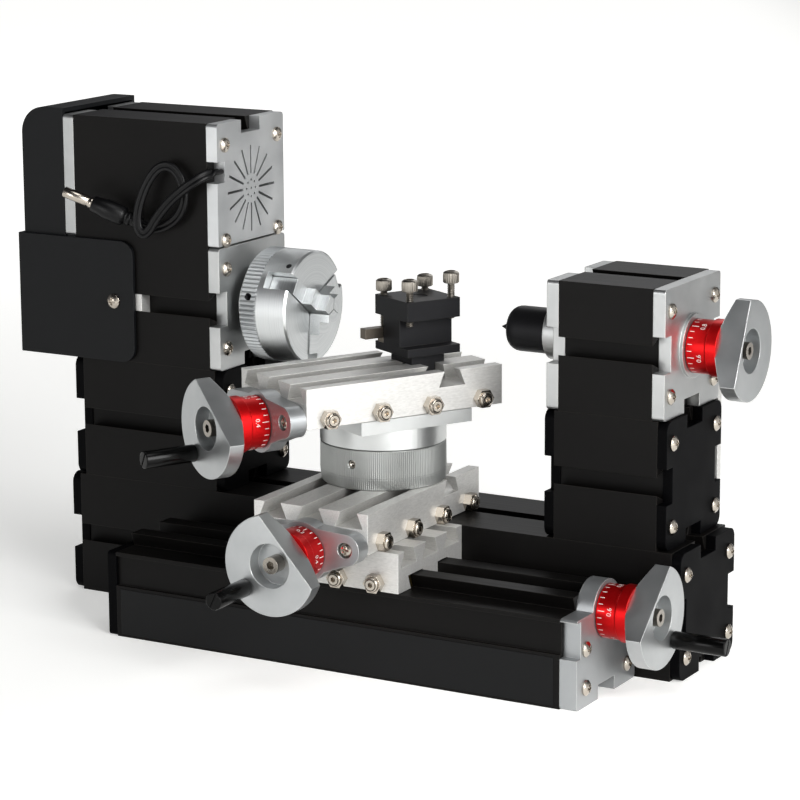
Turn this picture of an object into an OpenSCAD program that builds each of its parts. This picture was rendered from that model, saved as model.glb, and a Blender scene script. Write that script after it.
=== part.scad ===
// Mini lathe built from square black modules on a bench. X runs along the spindle, towards the tailstock;
// Y runs away from the operator; Z is up. The origin is the middle of the main bed's underside.

/* [Modules] */
// Depth of every module, front to back
module_w = 50; // [48:0.5:54]
// Height of every module
module_h = 50; // [48:0.5:54]
// Length of the main bed's profile
bed_len = 270; // [262:1:290]
// Length of the headstock's profile
head_len = 64.5; // [62:0.5:68]
// Length of the profile under the headstock
left_riser_len = 64.5; // [60:0.5:66]
// Length of the profile under the tailstock
tail_riser_len = 43; // [40:0.5:46]
// Length of the tailstock's profile
tail_len = 39; // [37:0.5:42]
// Thickness of a black end plate
black_plate_t = 4; // [3:0.25:5]
// Thickness of a silver end plate
silver_plate_t = 5; // [4:0.25:6]
// Corner radius of a black end plate
black_corner_r = 4; // [2:0.5:6]
// Corner radius of a silver end plate
silver_corner_r = 1.5; // [0.5:0.25:3]
// Mouth of a dovetail groove
groove_mouth = 7; // [5:0.25:8]
// Floor of a dovetail groove
groove_floor = 12; // [10:0.25:13]
// Depth of a dovetail groove
groove_depth = 6; // [4:0.25:6.5]
// Width of the notch in the middle of an end plate's side
notch_w = 14; // [12.5:0.5:16]
// Depth of that notch
notch_d = 5.5; // [4:0.25:6]
// Bore that lightens a bed or riser profile
core_d = 20; // [10:1:24]

/* [Places] */
// X of the headstock plates' right face
head_x = -64.5; // [-66:0.5:-63]
// X of the right face of the riser under the headstock
left_riser_x = -63.5; // [-66:0.5:-63]
// X of the tailstock's left face
tail_x = 82.2; // [80:0.2:84]
// X of the left face of the riser under the tailstock
tail_riser_x = 81.6; // [80:0.2:84]
// X of the saddle's middle
saddle_x = 11.7; // [10:0.1:13]
// How far the cross table stands before the saddle
cross_front = 7; // [6:0.5:8]
// Swivel axis, behind the cross table's middle
swivel_off = 11.5; // [10:0.5:13]
// Angle of the top slide to the spindle
swivel_angle = 61.5; // [56:0.5:66]
// Middle of the top table, from the swivel axis towards its handwheel
top_back = 5; // [3:0.5:6]

/* [Headstock] */
// Height of the spindle over its module's underside
spindle_h = 25; // [24:0.5:26]
// Height of the motor axis over the spindle axis
motor_rise = 46.5; // [45:0.25:48]
// Diameter of the spindle in its bearings
spindle_d = 10; // [9:0.5:12]
// Bore through the spindle
spindle_bore_d = 6; // [4:0.5:7]
// Outer diameter of a spindle bearing
bearing_d = 26; // [24:1:28]
// Width of a spindle bearing
bearing_w = 8; // [6:0.5:9]
// Diameter of the flange that carries the chuck
flange_d = 28; // [24:1:30]
// Diameter of the motor
motor_d = 36; // [32:1:37]
// Length of the motor
motor_len = 60; // [50:1:62]
// Diameter of the motor's shaft
motor_shaft_d = 4; // [3:0.5:5]
// Diameter of the spindle pulley
big_pulley_d = 32; // [26:1:36]
// Diameter of the motor pulley
small_pulley_d = 14; // [11:1:16]
// Width of the pulleys
pulley_w = 9; // [7:0.5:10]
// Thickness of the belt
belt_t = 1.6; // [1:0.2:2]
// Width of the belt
belt_w = 6; // [4:0.5:6.5]
// Number of slots in the motor plate's vent
vent_slots = 16; // [12:1:20]
// Width of a vent slot
vent_slot_w = 1; // [0.8:0.1:1.4]
// Inner diameter of the ring of vent slots
vent_in_d = 12; // [10:0.5:14]
// Outer diameter of the ring of vent slots
vent_out_d = 35; // [30:0.5:36]

/* [Belt cover] */
// Depth of the cover, from the left plates outwards
cover_depth = 20.5; // [19:0.5:24]
// Wall of the cover
cover_wall = 1.8; // [1.2:0.2:2.4]
// Radius of the cover's top left edge
cover_round = 11; // [6:1:14]
// How far the cover stands over the motor plates
cover_over = 2.4; // [1:0.2:4]
// Thickness of the sheet guard round the cover's foot
guard_t = 1.6; // [1:0.2:2]
// How far the sheet guard reaches over the headstock's front
guard_reach = 34; // [30:1:38]
// How far the guard's screw stands in from its edge
guard_screw_in = 9.6; // [8:0.2:12]

/* [Chuck] */
// Diameter of the chuck
chuck_d = 46; // [43:0.5:48]
// Length of the chuck's body in front of its ring
chuck_body_len = 13.8; // [12:0.2:16]
// Width of the scroll ring
scroll_w = 7.5; // [6:0.5:9]
// Gap between the headstock plate and the scroll ring
chuck_gap = 7.7; // [6:0.1:9]
// Bore through the chuck
chuck_bore_d = 10; // [8:0.5:11]
// Width of a jaw
jaw_w = 7; // [6:0.25:8]
// Turn of the first jaw, from the back upwards
jaw_turn = 24.5; // [10:0.5:40]
// Reach of the jaws in front of the chuck's face
jaw_reach = 9; // [7:0.5:10]
// Height of one step of a jaw
jaw_step = 4.2; // [3:0.2:4.5]

/* [Tailstock] */
// Diameter of the quill
quill_d = 17.8; // [16:0.2:19]
// Distance from the tailstock's left face to the centre's point
quill_reach = 32.3; // [29:0.1:34]
// Length of the quill's rounded nose
nose_len = 4.5; // [3:0.5:7]
// Diameter of the steel centre
centre_d = 5.2; // [4:0.2:6]
// Length of the centre's cone
centre_len = 5; // [3:0.2:6]
// Diameter of the boss round the quill
boss_d = 21.6; // [20.8:0.2:24]
// Length of that boss
boss_len = 9.2; // [7:0.2:10]

/* [Long bed] */
// Length of the long bed's profile
long_len = 196.5; // [190:0.5:200]
// X of the left end of that profile
long_x = -83; // [-84:0.5:-80]
// Height of the long bed's top
long_h = 34.5; // [33:0.25:36]
// Thickness of the bracket at its right end
long_bracket_t = 7; // [6:0.25:8]
// Depth of the recess along its front
front_recess = 1.5; // [1:0.25:2.5]
// Height of the label face under that recess
label_h = 20.8; // [18:0.2:22]
// Height of the bottom of the leadscrew's channel
channel_z = 29; // [28:0.2:29.3]
// Height of the lip over that recess
lip_h = 1.6; // [1:0.2:2.5]

/* [Slides] */
// Width of the saddle and of the tables
slide_w = 50; // [48:0.5:52]
// Height of the saddle and of the tables
slide_h = 15.5; // [15:0.25:17]
// Length of the saddle
saddle_len = 68; // [64:1:70]
// Length of the cross table and of the top table
table_len = 88; // [84:1:92]
// Height of a dovetail rail
rail_h = 5.3; // [4.5:0.1:5.6]
// Width of a rail at its top
rail_top_w = 28; // [26:0.5:29]
// Width of a rail at its foot
rail_foot_w = 24; // [22:0.5:25]
// Width of the channel along a rail
channel_w = 12; // [10:0.5:13]
// Thickness of a gib
gib_t = 3; // [2:0.25:3.2]
// Distance between the grooves on a table
rib_pitch = 16.7; // [16:0.1:17.2]
// Cross groove, behind a table's middle
cross_groove_off = 21; // [19:0.5:23]
// Running gap between a slide and its rail
slide_gap = 0.2; // [0.15:0.05:0.3]
// Depth of the swivel's base plate, along the top slide
base_len = 50; // [46:1:52]
// Thickness of that base plate
base_t = 5.2; // [4.5:0.1:6]
// Diameter of the swivel
swivel_d = 49.6; // [47:0.2:50]
// Height of the graduated ring
ring_h = 16; // [14:0.5:18]
// Height of the swivel's disc
disc_h = 7.8; // [6:0.2:9]
// Diameter of the swivel's pivot
pivot_d = 16; // [12:0.5:20]

/* [Cranks] */
// Diameter of a handwheel
wheel_d = 38.6; // [36:0.2:40]
// Thickness of a handwheel
wheel_t = 10; // [9:0.25:11]
// Thickness of its rim
wheel_rim_t = 6; // [5:0.25:7]
// Distance from a handwheel's axis to its flat
wheel_flat = 9.3; // [9:0.1:12]
// Diameter of a handwheel's recess
recess_d = 17; // [15:0.5:18]
// Depth of that recess
recess_depth = 6; // [4:0.25:7]
// Diameter of a dial
dial_d = 20.6; // [19:0.2:22]
// Length of a dial
dial_len = 12.3; // [11:0.1:14]
// Diameter of a dial's collar
collar_d = 22; // [21:0.2:23]
// Length of a dial's collar
collar_len = 4.2; // [3:0.2:5]
// Diameter of a leadscrew
screw_d = 6; // [5:0.25:6.5]
// Circle that a grip runs on
grip_ring_r = 14.3; // [13:0.1:15]
// Diameter of a grip
grip_d = 6.8; // [6:0.2:8]
// Length of a grip
grip_len = 22; // [18:0.5:25]
// Diameter of a grip's pin
grip_pin_d = 3; // [2.5:0.1:3.5]
// Diameter of a bracket's boss
hub_d = 23.8; // [22:0.2:25]
// Thickness of a bracket
bracket_t = 7; // [6:0.5:9]
// Distance between a bracket's screws
ear_pitch = 38; // [36:0.5:39]
// Diameter of a bracket's ears
ear_d = 12.4; // [11:0.2:14]
// Height of a bracket's screws over its axis
ear_rise = 3; // [2:0.25:4]
// Diameter of the socket screw that holds a handwheel
cap_head_d = 6.6; // [6:0.1:8]

/* [Tool post] */
// Side of the tool post
post_w = 24; // [22:0.5:26]
// Height of the tool post's foot over the table
post_foot_h = 4; // [3:0.25:5]
// Side of that foot
post_foot_w = 15; // [12:0.5:17]
// Thickness of the tool post's flange
flange_t = 3.2; // [2.5:0.1:4]
// Height of the tool slots
slot_h = 10.8; // [9:0.2:12]
// Thickness of the tool post's top
post_top_t = 7.7; // [6:0.1:9]
// Width of the tool post between its slots
waist_w = 12; // [10:0.5:14]
// Side of the tool bit
bit_w = 4; // [3.5:0.25:4.75]
// Length of the tool bit
bit_len = 40; // [34:1:44]
// Thickness of the packing under the tool bit
packing_t = 2; // [1:0.1:3]
// Diameter of a clamp screw
clamp_d = 3.3; // [3:0.1:3.6]
// Length of a clamp screw under its head
clamp_len = 14; // [12:0.5:15]
// Diameter of a clamp screw's head
clamp_head_d = 6.4; // [5.6:0.1:7]
// Height of a clamp screw's head
clamp_head_h = 4.7; // [4:0.1:5]
// Distance between clamp screws, both ways
clamp_pitch = 19; // [18:0.25:19.5]

/* [Fasteners] */
// Diameter of a plate screw's head
pan_d = 6; // [5:0.2:6.6]
// Height of a plate screw's head
pan_h = 2; // [1.6:0.1:2.6]
// Diameter of a plate screw
pan_shank_d = 3; // [2.5:0.1:3.4]
// Length of a plate screw under its head
pan_shank_len = 12; // [9:0.5:14]
// Distance from a plate's upright edges to its screws
screw_inset = 5.4; // [5:0.1:6]
// Distance from a plate's lower and upper edges to its screws
screw_rise = 8.8; // [8:0.2:9.4]
// Distance from the foot of the motor's plate to its lower screws
vent_screw_low = 2.8; // [2.8:0.1:4]
// Gap between the motor's plate and the plate under it
plate_gap = 0.7; // [0.3:0.1:0.7]
// Width of a lock nut, across its flats
nut_w = 6.8; // [6:0.2:6.8]
// Thickness of a lock nut
nut_t = 3.2; // [2.5:0.1:3.6]
// Diameter of a gib screw
gib_screw_d = 4; // [3:0.25:4.5]
// Height of the gib screws over a slide's underside
gib_screw_h = 3.3; // [3.2:0.05:3.4]
// Distance between gib screws
gib_pitch = 23; // [20:0.5:24]
// Distance between the saddle's gib screws
saddle_gib_pitch = 16.2; // [15:0.2:17.5]

/* [Lead] */
// Diameter of the lead
lead_d = 3; // [3:0.1:3.2]
// Diameter of the plug's body
plug_d = 8.4; // [6.6:0.2:8.6]
// Length of the plug's body
plug_len = 20; // [18:0.5:22]
// Diameter of the plug's barrel
barrel_d = 3.8; // [3.4:0.1:4.4]
// Length of the plug's barrel
barrel_len = 11; // [9:0.5:12.5]

/* [Hidden] */
$fn = 64;
// Overrun of every cut
cut = 1;
// Radial clearance of a shaft in its bore
fit = 0.08;
// Gap between pieces that only lie beside each other
air = 0.3;

// Gap between two end plates that lie edge to edge
seam = 0.2;

riser_z = module_h;
head_z = 2 * module_h;
motor_z = 3 * module_h;
spindle_z = head_z + spindle_h;
motor_axis_z = spindle_z + motor_rise;
front_y = -module_w / 2;
head_body_x = head_x - silver_plate_t - head_len;
head_left_x = head_body_x - silver_plate_t;
// Gap between the left plates and the pulleys
pulley_gap = 4;
pulley_x = head_left_x - pulley_gap - pulley_w;
cover_x = head_left_x - cover_depth - air;
cover_top_z = motor_z + module_h + cover_over;
// How far the cover stands out behind the headstock
cover_back = 2;
guard_x = cover_x - air - guard_t;
guard_end_x = head_left_x + guard_reach;
guard_screw_x = guard_end_x - guard_screw_in;

long_y = front_y - slide_w / 2;
long_right_x = long_x + long_len;
long_end_x = long_right_x + long_bracket_t;
// How far a table's leadscrew lies under the table
axis_drop = 0.4;
// How far the long leadscrew lies under the long bed's top
long_axis_drop = 1.9;
saddle_z = long_h + slide_gap;
saddle_top_z = saddle_z + slide_h;
long_axis_z = long_h - long_axis_drop;
cross_y = long_y - slide_w / 2 - cross_front + table_len / 2;
cross_z = saddle_top_z + slide_gap;
cross_axis_z = cross_z - axis_drop;
ring_z = cross_z + slide_h;
disc_z = ring_z + ring_h + slide_gap;
base_z = disc_z + disc_h;
top_z = base_z + base_t + slide_gap;
top_axis_z = top_z - axis_drop;
top_face_z = top_z + slide_h;
swivel_y = cross_y + swivel_off;
// A rail's dovetail leaves this room beside the gib, at its head and at its foot
gib_side_top = rail_top_w / 2 + gib_t + 2 * slide_gap;
gib_side_foot = rail_foot_w / 2 + gib_t + 2 * slide_gap;
ceiling_h = rail_h + slide_gap;
rail_lean_share = (rail_top_w - rail_foot_w) / 2 / rail_h;
gib_tip = gib_side_foot + rail_lean_share * (gib_screw_h + gib_screw_d / 2);
// Leadscrew nuts
nut_block_w = channel_w - 2 * air;
nut_block_len = 14;
nut_wall = 3;
// Travel of the cross slide towards the main bed, and the leadscrew's gap to the bed at its end
cross_in = 2;
cross_end_gap = 1;
cross_reach = front_y - cross_in - cross_end_gap - cross_y + table_len / 2 + bracket_t + air;
top_reach = 70;
pivot_h = 12;

// Hub of the chuck, which carries the scroll ring
chuck_hub_d = 32;
// How deep the jaws' slots stay in front of the scroll ring
jaw_root_gap = 2.6;
ring_x = head_x + chuck_gap;
chuck_x = ring_x + scroll_w + air;
chuck_face_x = chuck_x + chuck_body_len;

tail_body_x = tail_x + silver_plate_t;
tail_right_x = tail_body_x + tail_len + silver_plate_t;
tail_washer_t = 1.3;
quill_len = 63;
quill_x = tail_x - quill_reach;
thread_depth = 40;
tail_screw_end_gap = 8;

post_z = top_face_z + post_foot_h;
slot_z = post_z + flange_t;
post_top_z = slot_z + slot_h;
bit_z = slot_z + packing_t;
// Lift of each clamp screw: two are down on the bit and two are backed off
clamp_lifts = [0, 2.4, 0, 4];
// Share of the tool bit that lies on the operator's side of the post's middle
bit_back_share = 0.5;

// Turn of each handwheel
long_turn = 41.7;
cross_turn = 221.8;
top_turn = 231.2;
tail_turn = 65.6;

// Route of the lead: out of its notch in the motor plate, down across its own loop, round the loop
// behind the first stretch, and on to the plug
lead_route = [[-67, -19.5, 180.5], [-67, -21.5, 180.5], [-67.2, -24.5, 180.4], [-68.2, -28, 179.8],
    [-70.6, -31, 178], [-74.5, -32.8, 175], [-79.5, -33.5, 171], [-84.2, -33.5, 166.6],
    [-88.6, -33.5, 161.4], [-91.6, -33.5, 157.2], [-94.6, -33.5, 155.2], [-97, -33.5, 157.2],
    [-97.6, -33.4, 162], [-96.4, -32.6, 168.6], [-93.8, -31.4, 175.4], [-90, -30.2, 180.8],
    [-86, -29.4, 182.6], [-82, -29.2, 181.2], [-79, -29.2, 177.2], [-77.8, -29.2, 172],
    [-78.4, -29.2, 167], [-81, -29.2, 162.6], [-85, -29.2, 159.4], [-90, -29.2, 157.4],
    [-95, -29.4, 157.2], [-99, -30, 158.6], [-102.4, -31, 160.2]];
lead_sides = 8;
lead_points = len(lead_route);
// Directions of the lead at its exit and at its plug
exit_dir = [0, -1, 0];
plug_dir = [-0.88, -0.3, 0.36];
plug_at = lead_route[lead_points - 1];

// Outline of a dovetail groove, cut down from a face that lies on the X axis
module groove_2d() {
    polygon([[-groove_mouth / 2, cut], [-groove_mouth / 2, 0], [-groove_floor / 2, -groove_depth],
        [groove_floor / 2, -groove_depth], [groove_mouth / 2, 0], [groove_mouth / 2, cut]]);
}

// Square with rounded corners, centred
module rounded_2d(w, h, r) {
    difference() {
        square([w, h], center = true);
        for (a = [-1, 1], b = [-1, 1])
            translate([a * (w / 2 - r), b * (h / 2 - r)])
                difference() {
                    translate([a > 0 ? 0 : -r - cut, b > 0 ? 0 : -r - cut]) square(r + cut);
                    circle(r);
                }
    }
}

// Lays a section drawn in Y and Z along X
module along_x(x, z, len) {
    translate([x, 0, z]) rotate([90, 0, 90]) linear_extrude(len) children();
}

// A cylinder along X
module rod_x(x, y, z, len, d) {
    translate([x, y, z]) rotate([0, 90, 0]) cylinder(len, d = d);
}

// Section of a black module, with its underside on the X axis
module profile_2d(h) {
    difference() {
        translate([-module_w / 2, 0]) square([module_w, h]);
        translate([0, h]) groove_2d();
        rotate(180) groove_2d();
        translate([-module_w / 2, module_h / 2]) rotate(90) groove_2d();
        translate([module_w / 2, module_h / 2]) rotate(-90) groove_2d();
        screw_places_2d() circle(d = pan_shank_d + 2 * fit);
    }
}

// The four places of an end plate's screws, the lower two at the height low
module screw_places_2d(low = screw_rise) {
    for (y = [-1, 1], k = [low, module_h - screw_rise])
        translate([y * (module_w / 2 - screw_inset), k]) children();
}

module hollow_module(x, z, len) {
    color("#1c1b1a") along_x(x, z, len) difference() {
        profile_2d(module_h);
        translate([0, module_h / 2]) circle(d = core_d);
    }
}

module main_bed() {
    hollow_module(-bed_len / 2, 0, bed_len);
}

module risers() {
    hollow_module(left_riser_x - black_plate_t - left_riser_len, riser_z, left_riser_len);
    hollow_module(tail_riser_x + black_plate_t, riser_z, tail_riser_len);
}

// An end plate standing on z, with notches on chosen sides and holes for its four screws
module end_plate(x, z, t, r, notches = [1, 1, 1, 1], low = screw_rise) {
    along_x(x, z, t) difference() {
        translate([0, module_h / 2]) rounded_2d(module_w, module_h - seam, r);
        if (notches[0]) translate([0, module_h]) square([notch_w, 2 * notch_d], center = true);
        if (notches[1]) square([notch_w, 2 * notch_d], center = true);
        if (notches[2]) translate([front_y, module_h / 2]) square([2 * notch_d, notch_w], center = true);
        if (notches[3]) translate([-front_y, module_h / 2]) square([2 * notch_d, notch_w], center = true);
        screw_places_2d(low) circle(d = pan_shank_d + 2 * fit);
    }
}

module black_end_plates() {
    color("#222326") {
        end_plate(-bed_len / 2 - black_plate_t, 0, black_plate_t, black_corner_r);
        end_plate(bed_len / 2, 0, black_plate_t, black_corner_r);
        end_plate(left_riser_x - black_plate_t, riser_z, black_plate_t, black_corner_r);
        end_plate(left_riser_x - 2 * black_plate_t - left_riser_len, riser_z, black_plate_t, black_corner_r);
        end_plate(tail_riser_x, riser_z, black_plate_t, black_corner_r);
        end_plate(tail_riser_x + black_plate_t + tail_riser_len, riser_z, black_plate_t, black_corner_r);
        translate([long_x - black_plate_t, long_y, 0]) rotate([90, 0, 90]) linear_extrude(black_plate_t)
            difference() {
                translate([-air / 2, long_h / 2]) rounded_2d(slide_w - air, long_h - seam, silver_corner_r);
                long_screw_places_2d() circle(d = pan_shank_d + 2 * fit);
            }
    }
}

// The tall headstock profile holds the spindle below and the motor above
module headstock_body() {
    color("#1c1b1a") difference() {
        along_x(head_body_x, head_z, head_len) difference() {
            profile_2d(2 * module_h);
            for (low = [screw_rise, vent_screw_low]) translate([0, module_h]) screw_places_2d(low)
                circle(d = pan_shank_d + 2 * fit);
        }
        rod_x(head_body_x - cut, 0, spindle_z, head_len + 2 * cut, bearing_d);
        rod_x(head_body_x - cut, 0, motor_axis_z, head_len + 2 * cut, motor_d + 2 * fit);
    }
}

// Two silver plates behind the belt and one that faces the chuck
module headstock_plates() {
    color("#c3c6ca") {
        bored_plate(head_left_x, head_z, spindle_z, spindle_d, [0, 1, 1, 1]);
        bored_plate(head_left_x, motor_z, motor_axis_z, motor_shaft_d, [1, 0, 0, 1]);
        bored_plate(head_x - silver_plate_t, head_z, spindle_z, spindle_d, [0, 1, 1, 1]);
    }
}

// A silver end plate with a clearance hole for a shaft
module bored_plate(x, z, axis_z, d, notches) {
    difference() {
        end_plate(x, z, silver_plate_t, silver_corner_r, notches);
        rod_x(x - cut, 0, axis_z, silver_plate_t + 2 * cut, d + 2 * air);
    }
}

// The motor's plate: radial vent slots round a cluster of small holes
module motor_vent_plate() {
    lead_notch_w = 8.6;
    vent_hole_d = 1;
    vent_holes = 8;
    vent_hole_ring = 3.4;
    color("#c3c6ca") difference() {
        end_plate(head_x - silver_plate_t, motor_z, silver_plate_t, silver_corner_r, [1, 0, 0, 0],
            vent_screw_low);
        translate([head_x - silver_plate_t - cut, front_y - cut, motor_z - cut])
            cube([silver_plate_t + 2 * cut, module_w + 2 * cut, plate_gap + cut]);
        translate([head_x - silver_plate_t - cut, front_y - cut, lead_route[0][2] - lead_notch_w / 2])
            cube([silver_plate_t + 2 * cut, notch_d + cut, lead_notch_w]);
        translate([head_x - silver_plate_t - cut, 0, motor_axis_z]) rotate([90, 0, 90]) {
            for (k = [0 : vent_slots - 1]) rotate(k * 360 / vent_slots)
                translate([vent_in_d / 2, -vent_slot_w / 2, 0])
                    cube([(vent_out_d - vent_in_d) / 2, vent_slot_w, silver_plate_t + 2 * cut]);
            for (k = [0 : vent_holes]) rotate(k * 360 / vent_holes)
                translate([k < vent_holes ? vent_hole_ring : 0, 0, 0])
                    cylinder(silver_plate_t + 2 * cut, d = vent_hole_d);
        }
    }
}

// Two ball bearings, each drawn as one ring
module spindle_bearings() {
    color("#9a9da1") for (x = [head_body_x, head_body_x + head_len - bearing_w])
        difference() {
            rod_x(x, 0, spindle_z, bearing_w, bearing_d);
            rod_x(x - cut, 0, spindle_z, bearing_w + 2 * cut, spindle_d + 2 * fit);
        }
}

// The spindle with its chuck flange and its grooved pulley
module spindle() {
    flange_gap = 2;
    tail_out = 2;
    flange_x = head_x + flange_gap;
    end_x = ring_x - air;
    color("#a9abae") difference() {
        union() {
            rod_x(pulley_x - tail_out, 0, spindle_z, end_x - pulley_x + tail_out, spindle_d);
            rod_x(flange_x, 0, spindle_z, end_x - flange_x, flange_d);
            pulley(spindle_z, big_pulley_d);
        }
        rod_x(pulley_x - tail_out - cut, 0, spindle_z, end_x - pulley_x + tail_out + 2 * cut, spindle_bore_d);
    }
}

// A flanged pulley in the belt's plane
module pulley(z, d) {
    rim = (pulley_w - belt_w - 2 * air) / 2;
    rod_x(pulley_x, 0, z, pulley_w, d - 2 * belt_t);
    for (x = [pulley_x, pulley_x + pulley_w - rim]) rod_x(x, 0, z, rim, d);
}

module motor() {
    shaft_room = 59;
    color("#8d9094") difference() {
        rod_x(head_body_x, 0, motor_axis_z, motor_len, motor_d);
        rod_x(head_body_x - cut, 0, motor_axis_z, min(shaft_room, motor_len), motor_shaft_d + 2 * fit);
    }
}

module motor_pulley() {
    in_motor = 30;
    color("#a9abae") {
        pulley(motor_axis_z, small_pulley_d);
        rod_x(pulley_x + pulley_w, 0, motor_axis_z, head_body_x + in_motor - pulley_x - pulley_w, motor_shaft_d);
    }
}

// The belt wraps both pulleys with a small gap
module drive_belt() {
    module belt_loop(grow) {
        rb = big_pulley_d / 2 - belt_t + air + grow;
        rs = small_pulley_d / 2 - belt_t + air + grow;
        tilt = asin((rb - rs) / motor_rise);
        circle(rb);
        translate([0, motor_rise]) circle(rs);
        polygon([[rb * cos(tilt), rb * sin(tilt)], [rs * cos(tilt), motor_rise + rs * sin(tilt)],
            [-rs * cos(tilt), motor_rise + rs * sin(tilt)], [-rb * cos(tilt), rb * sin(tilt)]]);
    }
    color("#151515") translate([pulley_x + (pulley_w - belt_w) / 2, 0, spindle_z]) rotate([90, 0, 90])
        linear_extrude(belt_w) difference() {
            belt_loop(belt_t);
            belt_loop(0);
        }
}

// Moulded cover over the belt: a box, open to the left plates, with a rounded top edge
module belt_cover() {
    w = module_w + cover_back;
    h = cover_top_z - head_z;
    module cover_2d(inset) {
        difference() {
            translate([inset, inset]) square([cover_depth - inset + (inset > 0 ? cut : 0), h - 2 * inset]);
            translate([cover_round, h - cover_round]) difference() {
                translate([-cover_round - cut, 0]) square([cover_round + cut, cover_round + cut]);
                circle(cover_round - inset);
            }
        }
    }
    color("#202225") difference() {
        translate([cover_x, front_y + w, head_z]) rotate([90, 0, 0]) linear_extrude(w) cover_2d(0);
        translate([cover_x, front_y + w - cover_wall, head_z]) rotate([90, 0, 0])
            linear_extrude(w - 2 * cover_wall) cover_2d(cover_wall);
    }
}

// Sheet guard: wraps the cover's foot and is screwed into the headstock's front groove
module belt_guard() {
    corner = 6;
    len = guard_end_x - guard_x;
    depth = module_w + cover_back + 2 * air + 2 * guard_t;
    color("#1f2023") difference() {
        union() {
            translate([guard_x, front_y - air, head_z]) rotate([90, 0, 0]) linear_extrude(guard_t)
                difference() {
                    square([len, module_h]);
                    for (k = [0, 1]) translate([len - corner, k ? module_h - corner : corner]) difference() {
                        translate([0, k ? 0 : -corner - cut]) square(corner + cut);
                        circle(corner);
                    }
                }
            translate([guard_x, front_y - air - guard_t, head_z]) cube([guard_t, depth, module_h]);
            translate([guard_x, front_y - air - 2 * guard_t + depth, head_z])
                cube([cover_depth + air + guard_t, guard_t, module_h]);
        }
        translate([guard_screw_x, front_y, spindle_z]) rotate([90, 0, 0])
            cylinder(guard_t + air + cut, d = pan_shank_d + 2 * fit);
    }
}

// The chuck: a hub that carries the scroll ring, and a body with three jaw slots
module chuck_body() {
    round_edge = 0.8;
    slot_x = chuck_x + jaw_root_gap;
    color("#b4b6b8") difference() {
        union() {
            rod_x(ring_x - air, 0, spindle_z, scroll_w + 2 * air + cut, chuck_hub_d);
            translate([chuck_x, 0, spindle_z]) rotate([0, 90, 0]) rotate_extrude()
                polygon([[0, 0], [chuck_d / 2, 0], [chuck_d / 2, chuck_body_len - round_edge],
                    [chuck_d / 2 - round_edge, chuck_body_len], [0, chuck_body_len]]);
        }
        rod_x(ring_x - air - cut, 0, spindle_z, chuck_face_x - ring_x + air + 2 * cut, chuck_bore_d);
        for (k = [0 : 2]) translate([slot_x, 0, spindle_z]) rotate([jaw_turn + 120 * k, 0, 0])
            translate([0, 0, -jaw_w / 2 - slide_gap])
                cube([chuck_body_len, chuck_d, jaw_w + 2 * slide_gap]);
    }
}

module scroll_ring() {
    tommy_d = 3;
    tommy_turn = 164;
    color("#a6a8aa") difference() {
        rod_x(ring_x, 0, spindle_z, scroll_w, chuck_d);
        rod_x(ring_x - cut, 0, spindle_z, scroll_w + 2 * cut, chuck_hub_d + 2 * fit);
        for (k = [0 : 2]) translate([ring_x + scroll_w / 2, 0, spindle_z])
            rotate([tommy_turn + 120 * k, 0, 0]) translate([0, chuck_d / 2 - tommy_d, 0]) rotate([-90, 0, 0])
                cylinder(tommy_d + cut, d = tommy_d);
    }
}

// A stepped jaw in its slot; its inner end is a wedge, so that the three jaws close on the axis
module chuck_jaw(k) {
    root = chuck_x + jaw_root_gap + slide_gap;
    tip = chuck_face_x + jaw_reach;
    jaw_gap = 0.2;
    heel = chuck_d / 2 - jaw_step;
    first = 5.5;
    second = 10.6;
    wedge = chuck_d;
    color("#c9cac9") translate([0, 0, spindle_z]) rotate([jaw_turn + 120 * k, 0, 0]) intersection() {
        translate([0, 0, -jaw_w / 2]) linear_extrude(jaw_w)
            polygon([[root, jaw_gap], [tip, jaw_gap], [tip, first], [tip - jaw_step, first],
                [tip - jaw_step, second], [tip - 2 * jaw_step, second], [tip - 2 * jaw_step, heel],
                [root, heel]]);
        translate([root - cut, 0, 0]) rotate([90, 0, 90]) linear_extrude(tip - root + 2 * cut)
            polygon([[jaw_gap, 0], [jaw_gap + wedge, wedge * tan(60)], [jaw_gap + wedge, -wedge * tan(60)]]);
    }
}
module chuck_jaw_1() { chuck_jaw(0); }
module chuck_jaw_2() { chuck_jaw(1); }
module chuck_jaw_3() { chuck_jaw(2); }

module tailstock_body() {
    color("#1c1b1a") difference() {
        along_x(tail_body_x, head_z, tail_len) profile_2d(module_h);
        rod_x(tail_body_x - cut, 0, spindle_z, tail_len + 2 * cut, quill_d + 2 * fit);
    }
}

module tailstock_left_plate() {
    color("#c3c6ca") difference() {
        union() {
            end_plate(tail_x, head_z, silver_plate_t, silver_corner_r);
            rod_x(tail_x - boss_len, 0, spindle_z, boss_len + silver_plate_t, boss_d);
        }
        rod_x(tail_x - boss_len - cut, 0, spindle_z, boss_len + silver_plate_t + 2 * cut, quill_d + 2 * fit);
    }
}

module tailstock_right_plate() {
    washer_d = 24.6;
    color("#b9bdc2") difference() {
        union() {
            end_plate(tail_right_x - silver_plate_t, head_z, silver_plate_t, silver_corner_r, [0, 1, 1, 1]);
            rod_x(tail_right_x - cut, 0, spindle_z, tail_washer_t + cut, washer_d);
        }
        rod_x(tail_right_x - silver_plate_t - cut, 0, spindle_z, silver_plate_t + tail_washer_t + 2 * cut,
            screw_d + 2 * fit);
    }
}

// Flat strip that joins the tailstock and its riser at the back
module rear_strip() {
    strip_t = 3;
    strip_h = 58;
    strip_foot = 2;
    strip_w = tail_right_x - tail_riser_x;
    color("#d3d5d8") translate([tail_riser_x, -front_y, riser_z + strip_foot])
        cube([strip_w, strip_t, strip_h]);
}

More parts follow.
